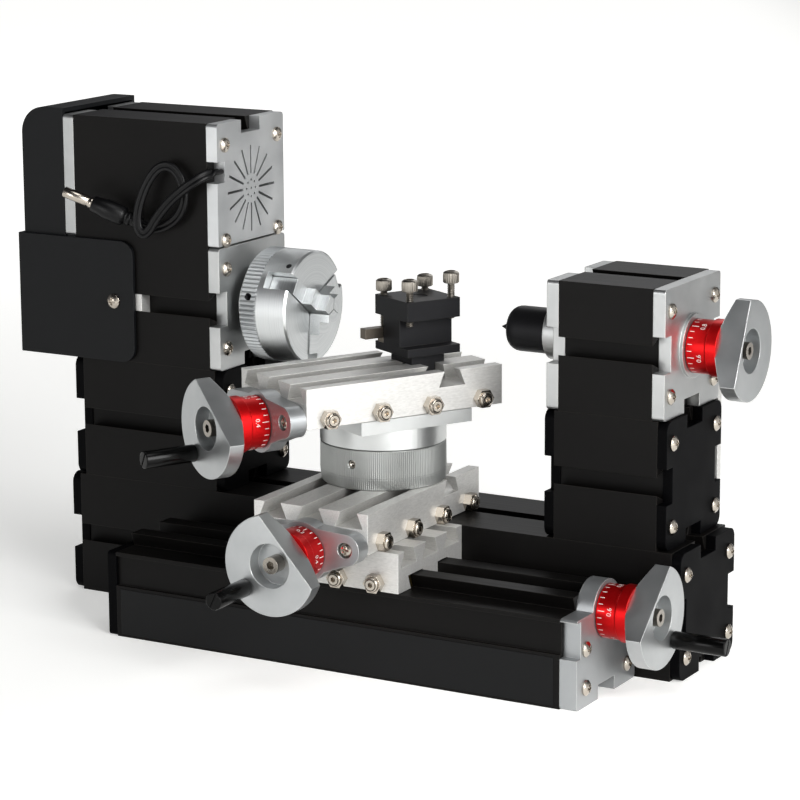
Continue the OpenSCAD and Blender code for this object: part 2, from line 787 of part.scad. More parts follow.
// Double dovetails that join two modules at their facing grooves, the guard screw's groove nut, and a
// bar with two tapped holes in the groove under each bed, to bolt the machine down
module groove_connectors() {
    joint_len = 36;
    side_joint_len = 30;
    guard_nut_len = 11;
    bench_bar_len = 60;
    bench_hole_pitch = 40;
    bench_hole_d = 3.4;
    side_shares = [-0.3, 0.5];
    neck = groove_mouth / 2 - fit;
    foot = groove_floor / 2 - fit;
    reach = groove_depth - fit;
    module half() {
        polygon([[-neck, 0], [-foot, -reach], [foot, -reach], [neck, 0]]);
    }
    module bench_bar(x, y) {
        translate([x, y, 0]) difference() {
            rotate([90, 0, 90]) linear_extrude(bench_bar_len, center = true) rotate(180) half();
            for (k = [-1, 1]) translate([k * bench_hole_pitch / 2, 0, -cut])
                cylinder(groove_depth + 2 * cut, d = bench_hole_d);
        }
    }
    module double() {
        polygon([[-neck, 0], [-foot, -reach], [foot, -reach], [neck, 0], [foot, reach], [-foot, reach]]);
    }
    module side_double() {
        polygon([[-neck, 0], [-foot, -reach], [foot, -reach], [neck, 0],
            [neck, air], [foot, air + reach], [-foot, air + reach], [-neck, air]]);
    }
    color("#b8babc") {
        for (z = [riser_z, head_z]) {
            along_x(left_riser_x - black_plate_t - (left_riser_len + joint_len) / 2, z, joint_len) double();
            along_x(tail_riser_x + black_plate_t + (tail_riser_len - joint_len) / 2, z, joint_len) double();
        }
        for (k = side_shares)
            translate([k * module_w * 2, front_y, module_h / 2]) rotate([90, 0, 90])
                linear_extrude(side_joint_len) rotate(90) side_double();
        bench_bar(0, 0);
        bench_bar(long_x + long_len / 2, long_y);
        translate([guard_end_x - guard_nut_len + notch_d / 2, front_y, spindle_z]) difference() {
            rotate([90, 0, 90]) linear_extrude(guard_nut_len) rotate(90) half();
            translate([guard_screw_x - guard_end_x + guard_nut_len - notch_d / 2, groove_depth + cut, 0])
                rotate([90, 0, 0]) cylinder(groove_depth + 2 * cut, d = pan_shank_d + 2 * fit);
        }
    }
}

// Quill with its rounded nose and the steel centre
module quill() {
    nose_tip_r = 5.4;
    nose_z = centre_len;
    color("#1b1c1e") translate([quill_x, 0, spindle_z]) rotate([0, 90, 0]) difference() {
        rotate_extrude() polygon(concat([[0, 0], [centre_d / 2, nose_z]],
            [for (a = [0 : 15 : 90]) [nose_tip_r + (quill_d / 2 - nose_tip_r) * sin(a),
                nose_z + nose_len * (1 - cos(a))]],
            [[quill_d / 2, quill_len], [0, quill_len]]));
        translate([0, 0, quill_len - thread_depth]) cylinder(thread_depth + cut, d = screw_d + 2 * fit);
    }
}

// Section of a slide: ribs and grooves on top, a dovetail for its rail and its gib below
module slide_2d() {
    difference() {
        translate([-slide_w / 2, 0]) square([slide_w, slide_h]);
        for (k = [-1 : 1]) translate([k * rib_pitch, slide_h]) groove_2d();
        polygon([[-rail_foot_w / 2 - slide_gap, -cut], [-rail_foot_w / 2 - slide_gap, 0],
            [-rail_top_w / 2 - slide_gap, ceiling_h], [gib_side_top, ceiling_h], [gib_side_foot, 0],
            [gib_side_foot, -cut]]);
    }
}

// A slide of this length along Y, on z, with clearance holes for its gib screws
module slide(len, z, pitch) {
    translate([0, 0, z]) difference() {
        rotate([90, 0, 0]) linear_extrude(len, center = true) slide_2d();
        gib_places(len, pitch) translate([rail_foot_w / 2, 0, gib_screw_h]) rotate([0, 90, 0])
            cylinder(slide_w / 2, d = gib_screw_d + 2 * fit);
    }
}

// The places of four gib screws along a slide
module gib_places(len, pitch) {
    for (k = [-1.5 : 1 : 1.5]) translate([0, k * pitch, 0]) children();
}

// Rail section with its channel, standing on z = 0
module rail_2d() {
    difference() {
        polygon([[-rail_foot_w / 2, -cut], [-rail_foot_w / 2, 0], [-rail_top_w / 2, rail_h],
            [rail_top_w / 2, rail_h], [rail_foot_w / 2, 0], [rail_foot_w / 2, -cut]]);
        square([channel_w, 3 * rail_h], center = true);
    }
}

// A table: a slide with a cross groove near its far end and a channel for the leadscrew
module table(z) {
    difference() {
        slide(table_len, z, gib_pitch);
        translate([0, cross_groove_off, z + slide_h]) rotate([90, 0, 90])
            linear_extrude(slide_w + 2 * cut, center = true) groove_2d();
    }
}

// A gib in a slide's frame: a leaning strip beside the rail
module gib(len, z) {
    gib_end = 1;
    lean = rail_lean_share * rail_h;
    foot = rail_foot_w / 2 + slide_gap;
    translate([0, 0, z]) rotate([90, 0, 0]) linear_extrude(len - 2 * gib_end, center = true)
        polygon([[foot, 0], [foot + lean, rail_h], [foot + lean + gib_t, rail_h], [foot + gib_t, 0]]);
}

// The gib's screws and lock nuts
module gib_screws(len, z, pitch) {
    screw_reach = 4.5;
    hex_d = 2.2;
    hex_depth = 2;
    shank = slide_w / 2 - gib_tip;
    gib_places(len, pitch) translate([slide_w / 2, 0, z + gib_screw_h]) rotate([0, 90, 0]) {
        difference() {
            rotate(30) cylinder(nut_t, d = nut_w / cos(30), $fn = 6);
            translate([0, 0, -cut]) cylinder(nut_t + 2 * cut, d = gib_screw_d + fit);
        }
        translate([0, 0, -shank]) difference() {
            cylinder(shank + screw_reach, d = gib_screw_d);
            translate([0, 0, shank + screw_reach - hex_depth]) cylinder(hex_depth + cut, d = hex_d, $fn = 6);
        }
    }
}

// Lays a slide along X with its gib screws in front
module saddle_frame() {
    translate([saddle_x, long_y, 0]) rotate([0, 0, -90]) children();
}
module cross_frame() {
    translate([saddle_x, cross_y, 0]) children();
}
module top_frame() {
    translate([saddle_x, swivel_y, 0]) rotate([0, 0, swivel_angle - 90])
        translate([0, -top_back, 0]) children();
}

// The saddle: a slide along the long bed, its leadscrew nut below and the cross rail on top
module saddle() {
    color("#c8cacc") difference() {
        union() {
            saddle_frame() {
                slide(saddle_len, saddle_z, saddle_gib_pitch);
                translate([-nut_block_w / 2, -saddle_len / 2, saddle_z + nut_drop])
                    cube([nut_block_w, saddle_len, ceiling_h - nut_drop + cut]);
                translate([-nut_block_w / 2, -nut_block_len / 2, long_axis_z - screw_d / 2])
                    cube([nut_block_w, nut_block_len, saddle_z + ceiling_h + cut - long_axis_z + screw_d / 2]);
            }
            translate([saddle_x, long_y, saddle_top_z]) rotate([90, 0, 0])
                linear_extrude(slide_w, center = true) rail_2d();
            translate([saddle_x - channel_w / 2 - cut, long_y - slide_w / 2, saddle_top_z - nut_wall])
                cube([channel_w + 2 * cut, nut_block_len, nut_wall + rail_h]);
        }
        rod_x(saddle_x - saddle_len, long_y, long_axis_z, 2 * saddle_len, screw_d + 2 * fit);
        translate([saddle_x, long_y + slide_w, cross_axis_z]) rotate([90, 0, 0])
            cylinder(2 * slide_w, d = screw_d + 2 * fit);
    }
}
// The saddle's full-length nut block starts this high over its underside
nut_drop = 1.3;
module saddle_gib() {
    color("#5d5c58") saddle_frame() gib(saddle_len, saddle_z);
}
module saddle_screws() {
    color("#8a8784") saddle_frame() gib_screws(saddle_len, saddle_z, saddle_gib_pitch);
}

module long_bed() {
    color("#161615") translate([long_x, long_y, 0]) rotate([90, 0, 90]) difference() {
        union() {
            linear_extrude(long_len) translate([-slide_w / 2, 0]) square([slide_w - air, long_h]);
            translate([0, long_h, 0]) linear_extrude(long_len) rail_2d();
        }
        translate([0, 0, -cut]) linear_extrude(long_len + 2 * cut) {
            translate([-slide_w / 2 - cut, label_h])
                square([front_recess + cut, long_h - label_h - lip_h]);
            translate([-channel_w / 2, channel_z])
                square([channel_w, long_h + rail_h]);
            rotate(180) groove_2d();
            translate([slide_w / 2 - air, module_h / 2]) rotate(-90) groove_2d();
            long_screw_places_2d() circle(d = pan_shank_d + 2 * fit);
        }
    }
}

// Cast bracket at the long bed's right end, with a hump round the leadscrew
module long_bracket() {
    front_notch_d = 3.3;
    front_notch_h = 14.1;
    front_notch_z = 19.4;
    color("#c6c8ca") difference() {
        translate([long_right_x, long_y, 0]) rotate([90, 0, 90]) linear_extrude(long_bracket_t)
            difference() {
                union() {
                    translate([-air / 2, long_h / 2]) rounded_2d(slide_w - air, long_h, silver_corner_r);
                    translate([0, long_axis_z]) circle(d = hub_d);
                }
                square([notch_w, 2 * notch_d], center = true);
                translate([-slide_w / 2 - cut, front_notch_z]) square([front_notch_d + cut, front_notch_h]);
                long_screw_places_2d() circle(d = pan_shank_d + 2 * fit);
            }
        rod_x(long_right_x - cut, long_y, long_axis_z, long_bracket_t + 2 * cut, screw_d + 2 * fit);
    }
}

// Places of the screws in the long bed's ends, in Y and Z
module long_screw_places_2d() {
    long_screw_in = 7.4;
    for (p = [[-1, long_screw_in], [1, long_screw_in], [-1, 3 * long_screw_in]])
        translate([p[0] * (slide_w / 2 - long_screw_in), p[1]]) children();
}

// Bracket on a table's front end: two ears and a boss, in a slide's frame, axis at z
module crank_bracket(z) {
    front = -table_len / 2;
    web_d = 21;
    color("#c9cbcd") difference() {
        translate([0, front, z]) rotate([90, 0, 0]) union() {
            cylinder(bracket_t, d = hub_d);
            for (k = [-1, 1]) translate([k * ear_pitch / 2, ear_rise, 0]) cylinder(bracket_t, d = ear_d);
            linear_extrude(bracket_t)
                polygon([[-ear_pitch / 2, ear_rise + ear_d / 2], [0, web_d / 2],
                    [ear_pitch / 2, ear_rise + ear_d / 2], [ear_pitch / 2, ear_rise - ear_d / 2],
                    [0, -web_d / 2], [-ear_pitch / 2, ear_rise - ear_d / 2]]);
        }
        translate([0, front + cut, z]) rotate([90, 0, 0]) cylinder(bracket_t + 2 * cut, d = screw_d + 2 * fit);
        ear_places(z) {
            translate([0, 0, -cut]) cylinder(bracket_t + 2 * cut, d = pan_shank_d + 2 * fit);
            translate([0, 0, bracket_t - pan_h]) cylinder(pan_h + cut, d = pan_d + 2 * fit);
        }
    }
}

// The places of a bracket's two screws, heads up
module ear_places(z) {
    for (k = [-1, 1]) translate([k * ear_pitch / 2, -table_len / 2, z + ear_rise]) rotate([90, 0, 0]) children();
}

// Dial with a collar, standing on z = 0 with its collar up
module dial() {
    collar_groove = 0.5;
    color("#d3262b") difference() {
        union() {
            cylinder(dial_len - collar_len - collar_groove, d = dial_d);
            cylinder(dial_len, d = dial_d - 2 * collar_groove);
            translate([0, 0, dial_len - collar_len]) cylinder(collar_len, d = collar_d);
        }
        translate([0, 0, -cut]) cylinder(dial_len + 2 * cut, d = screw_d + fit);
    }
}

// Handwheel with one flat, a conical back, a recess and its grip's pin, standing on z = 0
module handwheel(with_pin) {
    pin_short = 2;
    color("#c6c9cc") difference() {
        union() {
            difference() {
                rotate_extrude() polygon([[0, 0], [collar_d / 2, 0], [wheel_d / 2, wheel_t - wheel_rim_t],
                    [wheel_d / 2, wheel_t], [0, wheel_t]]);
                translate([-wheel_d, -wheel_d, -cut]) cube([wheel_d - wheel_flat, 2 * wheel_d, wheel_t + 2 * cut]);
            }
            if (with_pin) translate([grip_ring_r, 0, wheel_t - cut])
                cylinder(grip_len + cut - pin_short, d = grip_pin_d);
        }
        translate([0, 0, -cut]) cylinder(wheel_t + 2 * cut, d = screw_d + fit);
        translate([0, 0, wheel_t - recess_depth]) cylinder(recess_depth + cut, d = recess_d);
    }
}

// Leadscrew reaching down from the dial, with the socket screw that holds the wheel
module leadscrew(reach) {
    head_h = 5.4;
    socket_d = 3.4;
    socket_depth = 3;
    floor_z = dial_len + wheel_t - recess_depth;
    color("#8c8b88") difference() {
        union() {
            translate([0, 0, -reach]) cylinder(reach + floor_z + cut, d = screw_d);
            translate([0, 0, floor_z]) cylinder(head_h, d = cap_head_d);
        }
        translate([0, 0, floor_z + head_h - socket_depth]) cylinder(socket_depth + cut, d = socket_d, $fn = 6);
    }
}

module grip() {
    round_r = 0.8;
    pin_end_gap = 1.6;
    color("#1a1b1d") translate([grip_ring_r, 0, dial_len + wheel_t + air]) difference() {
        rotate_extrude() polygon([[0, 0], [grip_d / 2 - round_r, 0], [grip_d / 2, round_r],
            [grip_d / 2, grip_len - air - round_r], [grip_d / 2 - round_r, grip_len - air], [0, grip_len - air]]);
        translate([0, 0, -cut]) cylinder(grip_len - pin_end_gap + cut, d = grip_pin_d + 2 * fit);
    }
}

// Frames of the four cranks: z = 0 is the dial's inner face, outwards is up
module long_crank() {
    translate([long_end_x + air, long_y, long_axis_z]) rotate([0, 90, 0]) rotate(long_turn) children();
}
module tail_crank() {
    translate([tail_right_x + tail_washer_t + air, 0, spindle_z]) rotate([0, 90, 0]) rotate(tail_turn)
        children();
}
module slide_crank(z, turn) {
    translate([0, -table_len / 2 - bracket_t - air, z]) rotate([90, 0, 0]) rotate(turn) children();
}
module cross_crank() {
    cross_frame() slide_crank(cross_axis_z, cross_turn) children();
}
module top_crank() {
    top_frame() slide_crank(top_axis_z, top_turn) children();
}
module wheel_on_dial(with_pin = true) {
    translate([0, 0, dial_len]) handwheel(with_pin);
}

module long_leadscrew() {
    far_end_gap = 6;
    long_crank() leadscrew(long_bracket_t + air + long_len - far_end_gap);
}
module long_dial() { long_crank() dial(); }
module long_wheel() { long_crank() wheel_on_dial(); }
module long_grip() { long_crank() grip(); }

module cross_table() { color("#d9dadb") cross_frame() table(cross_z); }
module cross_gib() { color("#5d5c58") cross_frame() gib(table_len, cross_z); }
module cross_screws() {
    color("#8a8784") cross_frame() {
        gib_screws(table_len, cross_z, gib_pitch);
        ear_screws(cross_axis_z);
    }
}
module cross_bracket() { cross_frame() crank_bracket(cross_axis_z); }
module cross_leadscrew() { cross_crank() leadscrew(cross_reach); }
module cross_dial() { cross_crank() dial(); }
module cross_wheel() { cross_crank() wheel_on_dial(); }
module cross_grip() { cross_crank() grip(); }

// The two screws in a bracket's ears
module ear_screws(z) {
    ear_places(z) translate([0, 0, bracket_t - pan_h]) pan_screw(bracket_t - pan_h);
}

// Screw with its head on z = 0 and a shank of this length below
module pan_screw(len) {
    pan_head();
    translate([0, 0, -len]) cylinder(len + cut, d = pan_shank_d);
}

// Domed screw head with a cross recess, standing on z = 0
module pan_head() {
    recess_w = 0.9;
    rim_h = pan_h / 3;
    dome_r = (pan_d * pan_d / 4 + (pan_h - rim_h) * (pan_h - rim_h)) / 2 / (pan_h - rim_h);
    difference() {
        intersection() {
            cylinder(pan_h, d = pan_d);
            translate([0, 0, pan_h - dome_r]) sphere(dome_r);
        }
        translate([-pan_d / 4, -recess_w / 2, pan_h / 2]) cube([pan_d / 2, recess_w, pan_h]);
        translate([-recess_w / 2, -pan_d / 4, pan_h / 2]) cube([recess_w, pan_d / 2, pan_h]);
    }
}

// Graduated ring with its set screw, on the cross table
module swivel_ring() {
    set_d = 3.6;
    set_len = 3;
    set_z = 10;
    set_turn = -90;
    hex_d = 2;
    color("#b5b8bb") translate([saddle_x, swivel_y, ring_z]) difference() {
        cylinder(ring_h, d = swivel_d);
        translate([0, 0, ring_h - pivot_h - air]) cylinder(pivot_h + air + cut, d = pivot_d + 2 * fit);
        translate([0, 0, set_z]) rotate([0, 90, set_turn]) translate([0, 0, swivel_d / 2 - set_len]) {
            cylinder(set_len + cut, d = set_d);
        }
    }
    color("#8a8784") translate([saddle_x, swivel_y, ring_z + set_z]) rotate([0, 90, set_turn])
        translate([0, 0, swivel_d / 2 - set_len]) difference() {
            cylinder(set_len - air, d = set_d - 2 * fit);
            translate([0, 0, set_len / 2]) cylinder(set_len, d = hex_d, $fn = 6);
        }
}

// The swivel's disc with its pivot below and the top slide's base and rail above
module swivel_disc() {
    color("#bcbfc2") translate([saddle_x, swivel_y, 0]) rotate([0, 0, swivel_angle - 90]) difference() {
        union() {
            translate([0, 0, disc_z]) cylinder(disc_h, d = swivel_d);
            translate([0, 0, disc_z - pivot_h]) cylinder(pivot_h + cut, d = pivot_d);
            translate([-slide_w / 2, -base_len / 2, base_z]) cube([slide_w, base_len, base_t]);
            translate([0, 0, base_z + base_t]) rotate([90, 0, 0])
                linear_extrude(base_len, center = true) rail_2d();
            translate([-channel_w / 2 - cut, -base_len / 4, base_z + base_t - cut])
                cube([channel_w + 2 * cut, base_len / 2, rail_h + cut]);
        }
        translate([0, base_len, top_axis_z]) rotate([90, 0, 0])
            cylinder(2 * base_len, d = screw_d + 2 * fit);
    }
}

module top_table() { color("#dcdddd") top_frame() table(top_z); }
module top_gib() { color("#5d5c58") top_frame() gib(table_len, top_z); }
module top_screws() {
    color("#8a8784") top_frame() {
        gib_screws(table_len, top_z, gib_pitch);
        ear_screws(top_axis_z);
    }
}
module top_bracket() { top_frame() crank_bracket(top_axis_z); }
module top_leadscrew() { top_crank() leadscrew(top_reach); }
module top_dial() { top_crank() dial(); }
module top_wheel() { top_crank() wheel_on_dial(); }
module top_grip() { top_crank() grip(); }

module tail_leadscrew() {
    tail_crank() leadscrew(tail_right_x + tail_washer_t + air - quill_x - quill_len + thread_depth
        - tail_screw_end_gap);
}
module tail_dial() { tail_crank() dial(); }
module tail_wheel() { tail_crank() wheel_on_dial(false); }

// Tool post over the top table's cross groove
module post_frame() {
    top_frame() translate([0, cross_groove_off, 0]) children();
}
module block(w, d, z, h) {
    translate([-w / 2, -d / 2, z]) cube([w, d, h]);
}
module tool_post() {
    bolt_d = 8;
    bolt_mark = 0.5;
    key_w = groove_mouth - 2 * fit;
    key_h = groove_depth / 2;
    color("#1e1f22") post_frame() difference() {
        union() {
            block(post_foot_w, post_foot_w, top_face_z, post_foot_h + cut);
            block(post_w, post_w, post_z, flange_t);
            block(waist_w, post_w, post_z, flange_t + slot_h + cut);
            block(post_w, post_w, post_top_z, post_top_t);
            block(post_foot_w, key_w, top_face_z - key_h, key_h + cut);
        }
        clamp_places() translate([0, 0, post_top_z - cut]) cylinder(post_top_t + 2 * cut, d = clamp_d);
        translate([0, 0, post_top_z + post_top_t - bolt_mark]) cylinder(bolt_mark + cut, d = bolt_d);
    }
}
module clamp_places() {
    for (a = [-1, 1], b = [-1, 1]) translate([a * clamp_pitch / 2, b * clamp_pitch / 2, 0]) children();
}

// The bit lies on a packing strip in the slot away from the operator
module tool_bit() {
    bit_x = -waist_w / 2 - slide_gap - bit_w;
    tip_cut = 4;
    color("#6b665e") post_frame() {
        translate([bit_x, -bit_len * bit_back_share, bit_z]) difference() {
            cube([bit_w, bit_len, bit_w]);
            translate([bit_w, bit_len - tip_cut, -cut]) rotate(45) cube([bit_w, 2 * bit_w, bit_w + 2 * cut]);
        }
        translate([bit_x, -post_w / 2, slot_z]) cube([bit_w, post_w, packing_t - fit / 2]);
    }
}

// Four clamp screws over the corners of the post
module clamp_screws() {
    socket_d = 3.2;
    base_z = bit_z + bit_w + clamp_len + fit / 2;
    corners = [[-1, -1], [1, -1], [-1, 1], [1, 1]];
    color("#b9b4aa") post_frame() for (k = [0 : 3])
        translate([corners[k][0] * clamp_pitch / 2, corners[k][1] * clamp_pitch / 2, base_z + clamp_lifts[k]])
            difference() {
                union() {
                    translate([0, 0, -clamp_len]) cylinder(clamp_len + cut, d = clamp_d - 2 * fit);
                    cylinder(clamp_head_h, d = clamp_head_d);
                }
                translate([0, 0, clamp_head_h / 2]) cylinder(clamp_head_h, d = socket_d, $fn = 6);
            }
}

// Screws along X through an end plate standing on z, heads on the side that dir points to
module plate_screws(x, z, dir, low = screw_rise) {
    translate([x, 0, z]) rotate([90, 0, 90]) screw_places_2d(low) rotate([0, dir > 0 ? 0 : 180, 0])
        pan_screw(pan_shank_len);
}

module frame_screws() {
    riser_left_x = left_riser_x - 2 * black_plate_t - left_riser_len;
    color("#a59a8c") {
        plate_screws(bed_len / 2 + black_plate_t, 0, 1);
        plate_screws(-bed_len / 2 - black_plate_t, 0, -1);
        plate_screws(left_riser_x, riser_z, 1);
        plate_screws(riser_left_x, riser_z, -1);
        plate_screws(tail_riser_x + 2 * black_plate_t + tail_riser_len, riser_z, 1);
        plate_screws(tail_riser_x, riser_z, -1);
        plate_screws(head_x, head_z, 1);
        plate_screws(head_x, motor_z, 1, vent_screw_low);
        plate_screws(head_left_x, head_z, -1);
        plate_screws(head_left_x, motor_z, -1);
        plate_screws(tail_right_x, head_z, 1);
        plate_screws(tail_x, head_z, -1);
        translate([long_end_x, long_y, 0]) rotate([90, 0, 90]) long_screw_places_2d()
            pan_screw(pan_shank_len);
        translate([long_x - black_plate_t, long_y, 0]) rotate([90, 0, 90]) long_screw_places_2d()
            rotate([0, 180, 0]) pan_screw(pan_shank_len);
        translate([guard_screw_x, front_y - air - guard_t, spindle_z]) rotate([90, 0, 0])
            pan_screw(guard_t + air + groove_depth - air);
    }
}

function unit(v) = v / norm(v);
// Direction of the route at point i
function tangent(p, i) = unit(p[min(i + 1, len(p) - 1)] - p[max(i - 1, 0)]);
// Side vector square to the direction, kept near the world's vertical
function side_of(t) = unit(cross(t, [0, 0, 1]));
function ring_at(c, t, r, n) = let (s = side_of(t), u = cross(s, t))
    [for (k = [0 : n - 1]) c + r * (cos(360 * k / n) * s + sin(360 * k / n) * u)];

module power_lead() {
    n = lead_sides;
    m = lead_points;
    rings = [for (i = [0 : m - 1]) ring_at(lead_route[i], i == 0 ? exit_dir : i == m - 1 ? unit(plug_dir)
        : tangent(lead_route, i), lead_d / 2, n)];
    points = [for (r = rings, p = r) p];
    faces = concat([[for (k = [0 : n - 1]) k]],
        [for (i = [0 : m - 2], k = [0 : n - 1]) each [
            [i * n + k, (i + 1) * n + k, (i + 1) * n + (k + 1) % n],
            [i * n + k, (i + 1) * n + (k + 1) % n, i * n + (k + 1) % n]]],
        [[for (k = [n - 1 : -1 : 0]) (m - 1) * n + k]]);
    color("#161616") polyhedron(points, faces, convexity = 6);
}

// The plug's moulded body and its barrel, in line with the lead's end
module power_plug() {
    d = unit(plug_dir);
    relief_len = 5;
    relief_share = 1.4;
    color("#1a1a1a") translate(plug_at) rotate([0, acos(d[2]), atan2(d[1], d[0])]) {
        cylinder(relief_len, d = lead_d * relief_share);
        translate([0, 0, relief_len]) cylinder(plug_len - relief_len, d = plug_d);
        translate([0, 0, plug_len]) difference() {
            cylinder(barrel_len, d = barrel_d);
            translate([0, 0, cut]) cylinder(barrel_len, d = barrel_d / 2);
        }
    }
}

main_bed();
risers();
black_end_plates();
headstock_body();
headstock_plates();
motor_vent_plate();
tailstock_body();
tailstock_left_plate();
tailstock_right_plate();
rear_strip();
groove_connectors();
frame_screws();
long_bed();
long_bracket();
spindle_bearings();
motor();
drive_belt();
belt_cover();
belt_guard();
power_lead();
power_plug();
spindle();
chuck_body();
scroll_ring();
chuck_jaw_1();
chuck_jaw_2();
chuck_jaw_3();
motor_pulley();
quill();
tail_leadscrew();
tail_dial();
tail_wheel();
long_leadscrew();
long_dial();
long_wheel();
long_grip();
saddle();
saddle_gib();
saddle_screws();
cross_table();
cross_gib();
cross_screws();
cross_bracket();
swivel_ring();
cross_leadscrew();
cross_dial();
cross_wheel();
cross_grip();
swivel_disc();
top_table();
top_gib();
top_screws();
top_bracket();
top_leadscrew();
top_dial();
top_wheel();
top_grip();
tool_post();
tool_bit();
clamp_screws();
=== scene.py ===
import math

import bmesh
import bpy
from mathutils import Euler, Matrix, Vector


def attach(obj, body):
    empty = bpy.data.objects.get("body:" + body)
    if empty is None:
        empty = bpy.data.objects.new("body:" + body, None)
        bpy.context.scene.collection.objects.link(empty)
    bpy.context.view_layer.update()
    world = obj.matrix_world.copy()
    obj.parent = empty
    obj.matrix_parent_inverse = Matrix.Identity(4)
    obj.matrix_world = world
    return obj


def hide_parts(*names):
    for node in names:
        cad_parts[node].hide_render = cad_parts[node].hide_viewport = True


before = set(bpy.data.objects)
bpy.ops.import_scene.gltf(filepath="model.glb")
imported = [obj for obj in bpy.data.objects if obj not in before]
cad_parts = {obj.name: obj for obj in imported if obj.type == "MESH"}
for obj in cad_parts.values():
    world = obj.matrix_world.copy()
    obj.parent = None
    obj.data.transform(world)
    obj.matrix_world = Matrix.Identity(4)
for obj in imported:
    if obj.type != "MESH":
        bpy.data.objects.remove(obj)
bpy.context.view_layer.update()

mm = 0.001
spindleHeight = 125  # mm
overrun = 1          # mm, how far a cutter passes what it cuts
# the six sides of a box: corners 0 to 3 go round one end, 4 to 7 round the other
boxFaces = [(0, 1, 2, 3), (7, 6, 5, 4), (0, 4, 5, 1), (1, 5, 6, 2), (2, 6, 7, 3), (3, 7, 4, 0)]


def toLinear(hexCode):
    values = [int(hexCode[i:i + 2], 16) / 255 for i in (1, 3, 5)]
    return tuple(v / 12.92 if v <= 0.04045 else ((v + 0.055) / 1.055) ** 2.4 for v in values) + (1.0,)


# a node with its settings, and its inputs as values or as links from other sockets
def addNode(tree, kind, settings=None, inputs=None):
    node = tree.nodes.new("ShaderNode" + kind)
    for key, value in (settings or {}).items():
        setattr(node, key, value)
    for key, value in (inputs or {}).items():
        if isinstance(value, bpy.types.NodeSocket):
            tree.links.new(value, node.inputs[key])
        else:
            node.inputs[key].default_value = value
    return node


def startMaterial(name):
    material = bpy.data.materials.new(name)
    material.use_nodes = True
    tree = material.node_tree
    return material, tree, tree.nodes["Principled BSDF"]


# a cloudy pattern: the size of its grain in mm along x, y and z, and its levels of detail
def grainNoise(tree, sizeX, sizeY, sizeZ, detail):
    place = addNode(tree, "TexCoord")
    scale = (1 / (sizeX * mm), 1 / (sizeY * mm), 1 / (sizeZ * mm))
    squeezed = addNode(tree, "Mapping", None, {"Vector": place.outputs["Object"], "Scale": scale})
    return addNode(tree, "TexNoise", None, {"Vector": squeezed.outputs[0], "Scale": 1.0,
                                            "Detail": detail}).outputs[0]


# what all finishes share
surface = {
    "bevelSamples": 6,
    "edgeFrom": 0.995, "edgeTo": 0.82,  # cosine of an edge's turn where the lighter edge colour, part wear and part painted highlight, starts and where it is full
    "cloudFrom": 0.3, "cloudTo": 0.7,   # a cloudy pattern stays mostly between these
}


# goes over to a lighter colour towards the edges, where it has this share at most: partly wear and partly
# a painted highlight along each edge
def wornColour(tree, edges, share, colour, edgeWornAndLit):
    flat = addNode(tree, "NewGeometry")
    facing = addNode(tree, "VectorMath", {"operation": "DOT_PRODUCT"},
                     {0: edges, 1: flat.outputs["Normal"]})
    edgeWearAndLight = addNode(tree, "MapRange", None,
                   {"Value": facing.outputs["Value"], "From Min": surface["edgeFrom"],
                    "From Max": surface["edgeTo"], "To Min": 0.0, "To Max": share})
    return addNode(tree, "Mix", {"data_type": "RGBA"},
                   {0: edgeWearAndLight.outputs[0], 6: colour, 7: toLinear(edgeWornAndLit)}).outputs[2]


# gives a finish its colour, a roughness that a pattern moves, and a relief whose depth is in mm
def completeFinish(tree, shader, colour, pattern, smoothest, roughest, height, strength, depth, edges):
    rough = addNode(tree, "MapRange", None,
                    {"Value": pattern, "From Min": surface["cloudFrom"], "From Max": surface["cloudTo"],
                     "To Min": smoothest, "To Max": roughest})
    bump = addNode(tree, "Bump", None, {"Height": height, "Strength": strength, "Distance": depth * mm})
    if edges:
        tree.links.new(edges, bump.inputs["Normal"])
    tree.links.new(colour, shader.inputs["Base Color"])
    tree.links.new(rough.outputs[0], shader.inputs["Roughness"])
    tree.links.new(bump.outputs[0], shader.inputs["Normal"])


print("Camera")
cameraSetup = {
    "place": (592.6, -1034.9, 349.9),  # mm
    "azimuth": 29.62,
    "elevation": 12.28,
    "roll": -0.28,
    "lens": 137.32, "sensor": 36,  # mm
    "clipEnd": 20,                 # m
}


def makeCamera():
    data = bpy.data.cameras.new("viewCamera")
    data.lens = cameraSetup["lens"]
    data.sensor_width = cameraSetup["sensor"]
    data.clip_end = cameraSetup["clipEnd"]
    camera = bpy.data.objects.new("viewCamera", data)
    bpy.context.scene.collection.objects.link(camera)
    turn = Euler((math.radians(90 - cameraSetup["elevation"]), 0, math.radians(cameraSetup["azimuth"])))
    roll = Matrix.Rotation(math.radians(cameraSetup["roll"]), 3, "Z")
    camera.matrix_world = Matrix.Translation([v * mm for v in cameraSetup["place"]]) \
        @ (turn.to_matrix() @ roll).to_4x4()
    bpy.context.scene.camera = camera


makeCamera()


def makeObject(name, vertices, faces, smooth=True):
    mesh = bpy.data.meshes.new(name)
    mesh.from_pydata([tuple(v) for v in vertices], [], faces)
    mesh.update()
    if smooth:
        for polygon in mesh.polygons:
            polygon.use_smooth = True
    piece = bpy.data.objects.new(name, mesh)
    bpy.context.scene.collection.objects.link(piece)
    return piece


# a smooth line through given points
def smoothRoute(points, steps=6):
    points = [Vector(p) for p in points]
    ends = [points[0] * 2 - points[1]] + points + [points[-1] * 2 - points[-2]]
    route = []
    for i in range(1, len(ends) - 2):
        a, b, c, d = ends[i - 1:i + 3]
        for k in range(steps):
            t = k / steps
            route.append(0.5 * ((2 * b) + (c - a) * t + (2 * a - 5 * b + 4 * c - d) * t * t
                                + (3 * b - a - 3 * c + d) * t ** 3))
    route.append(points[-1])
    return route


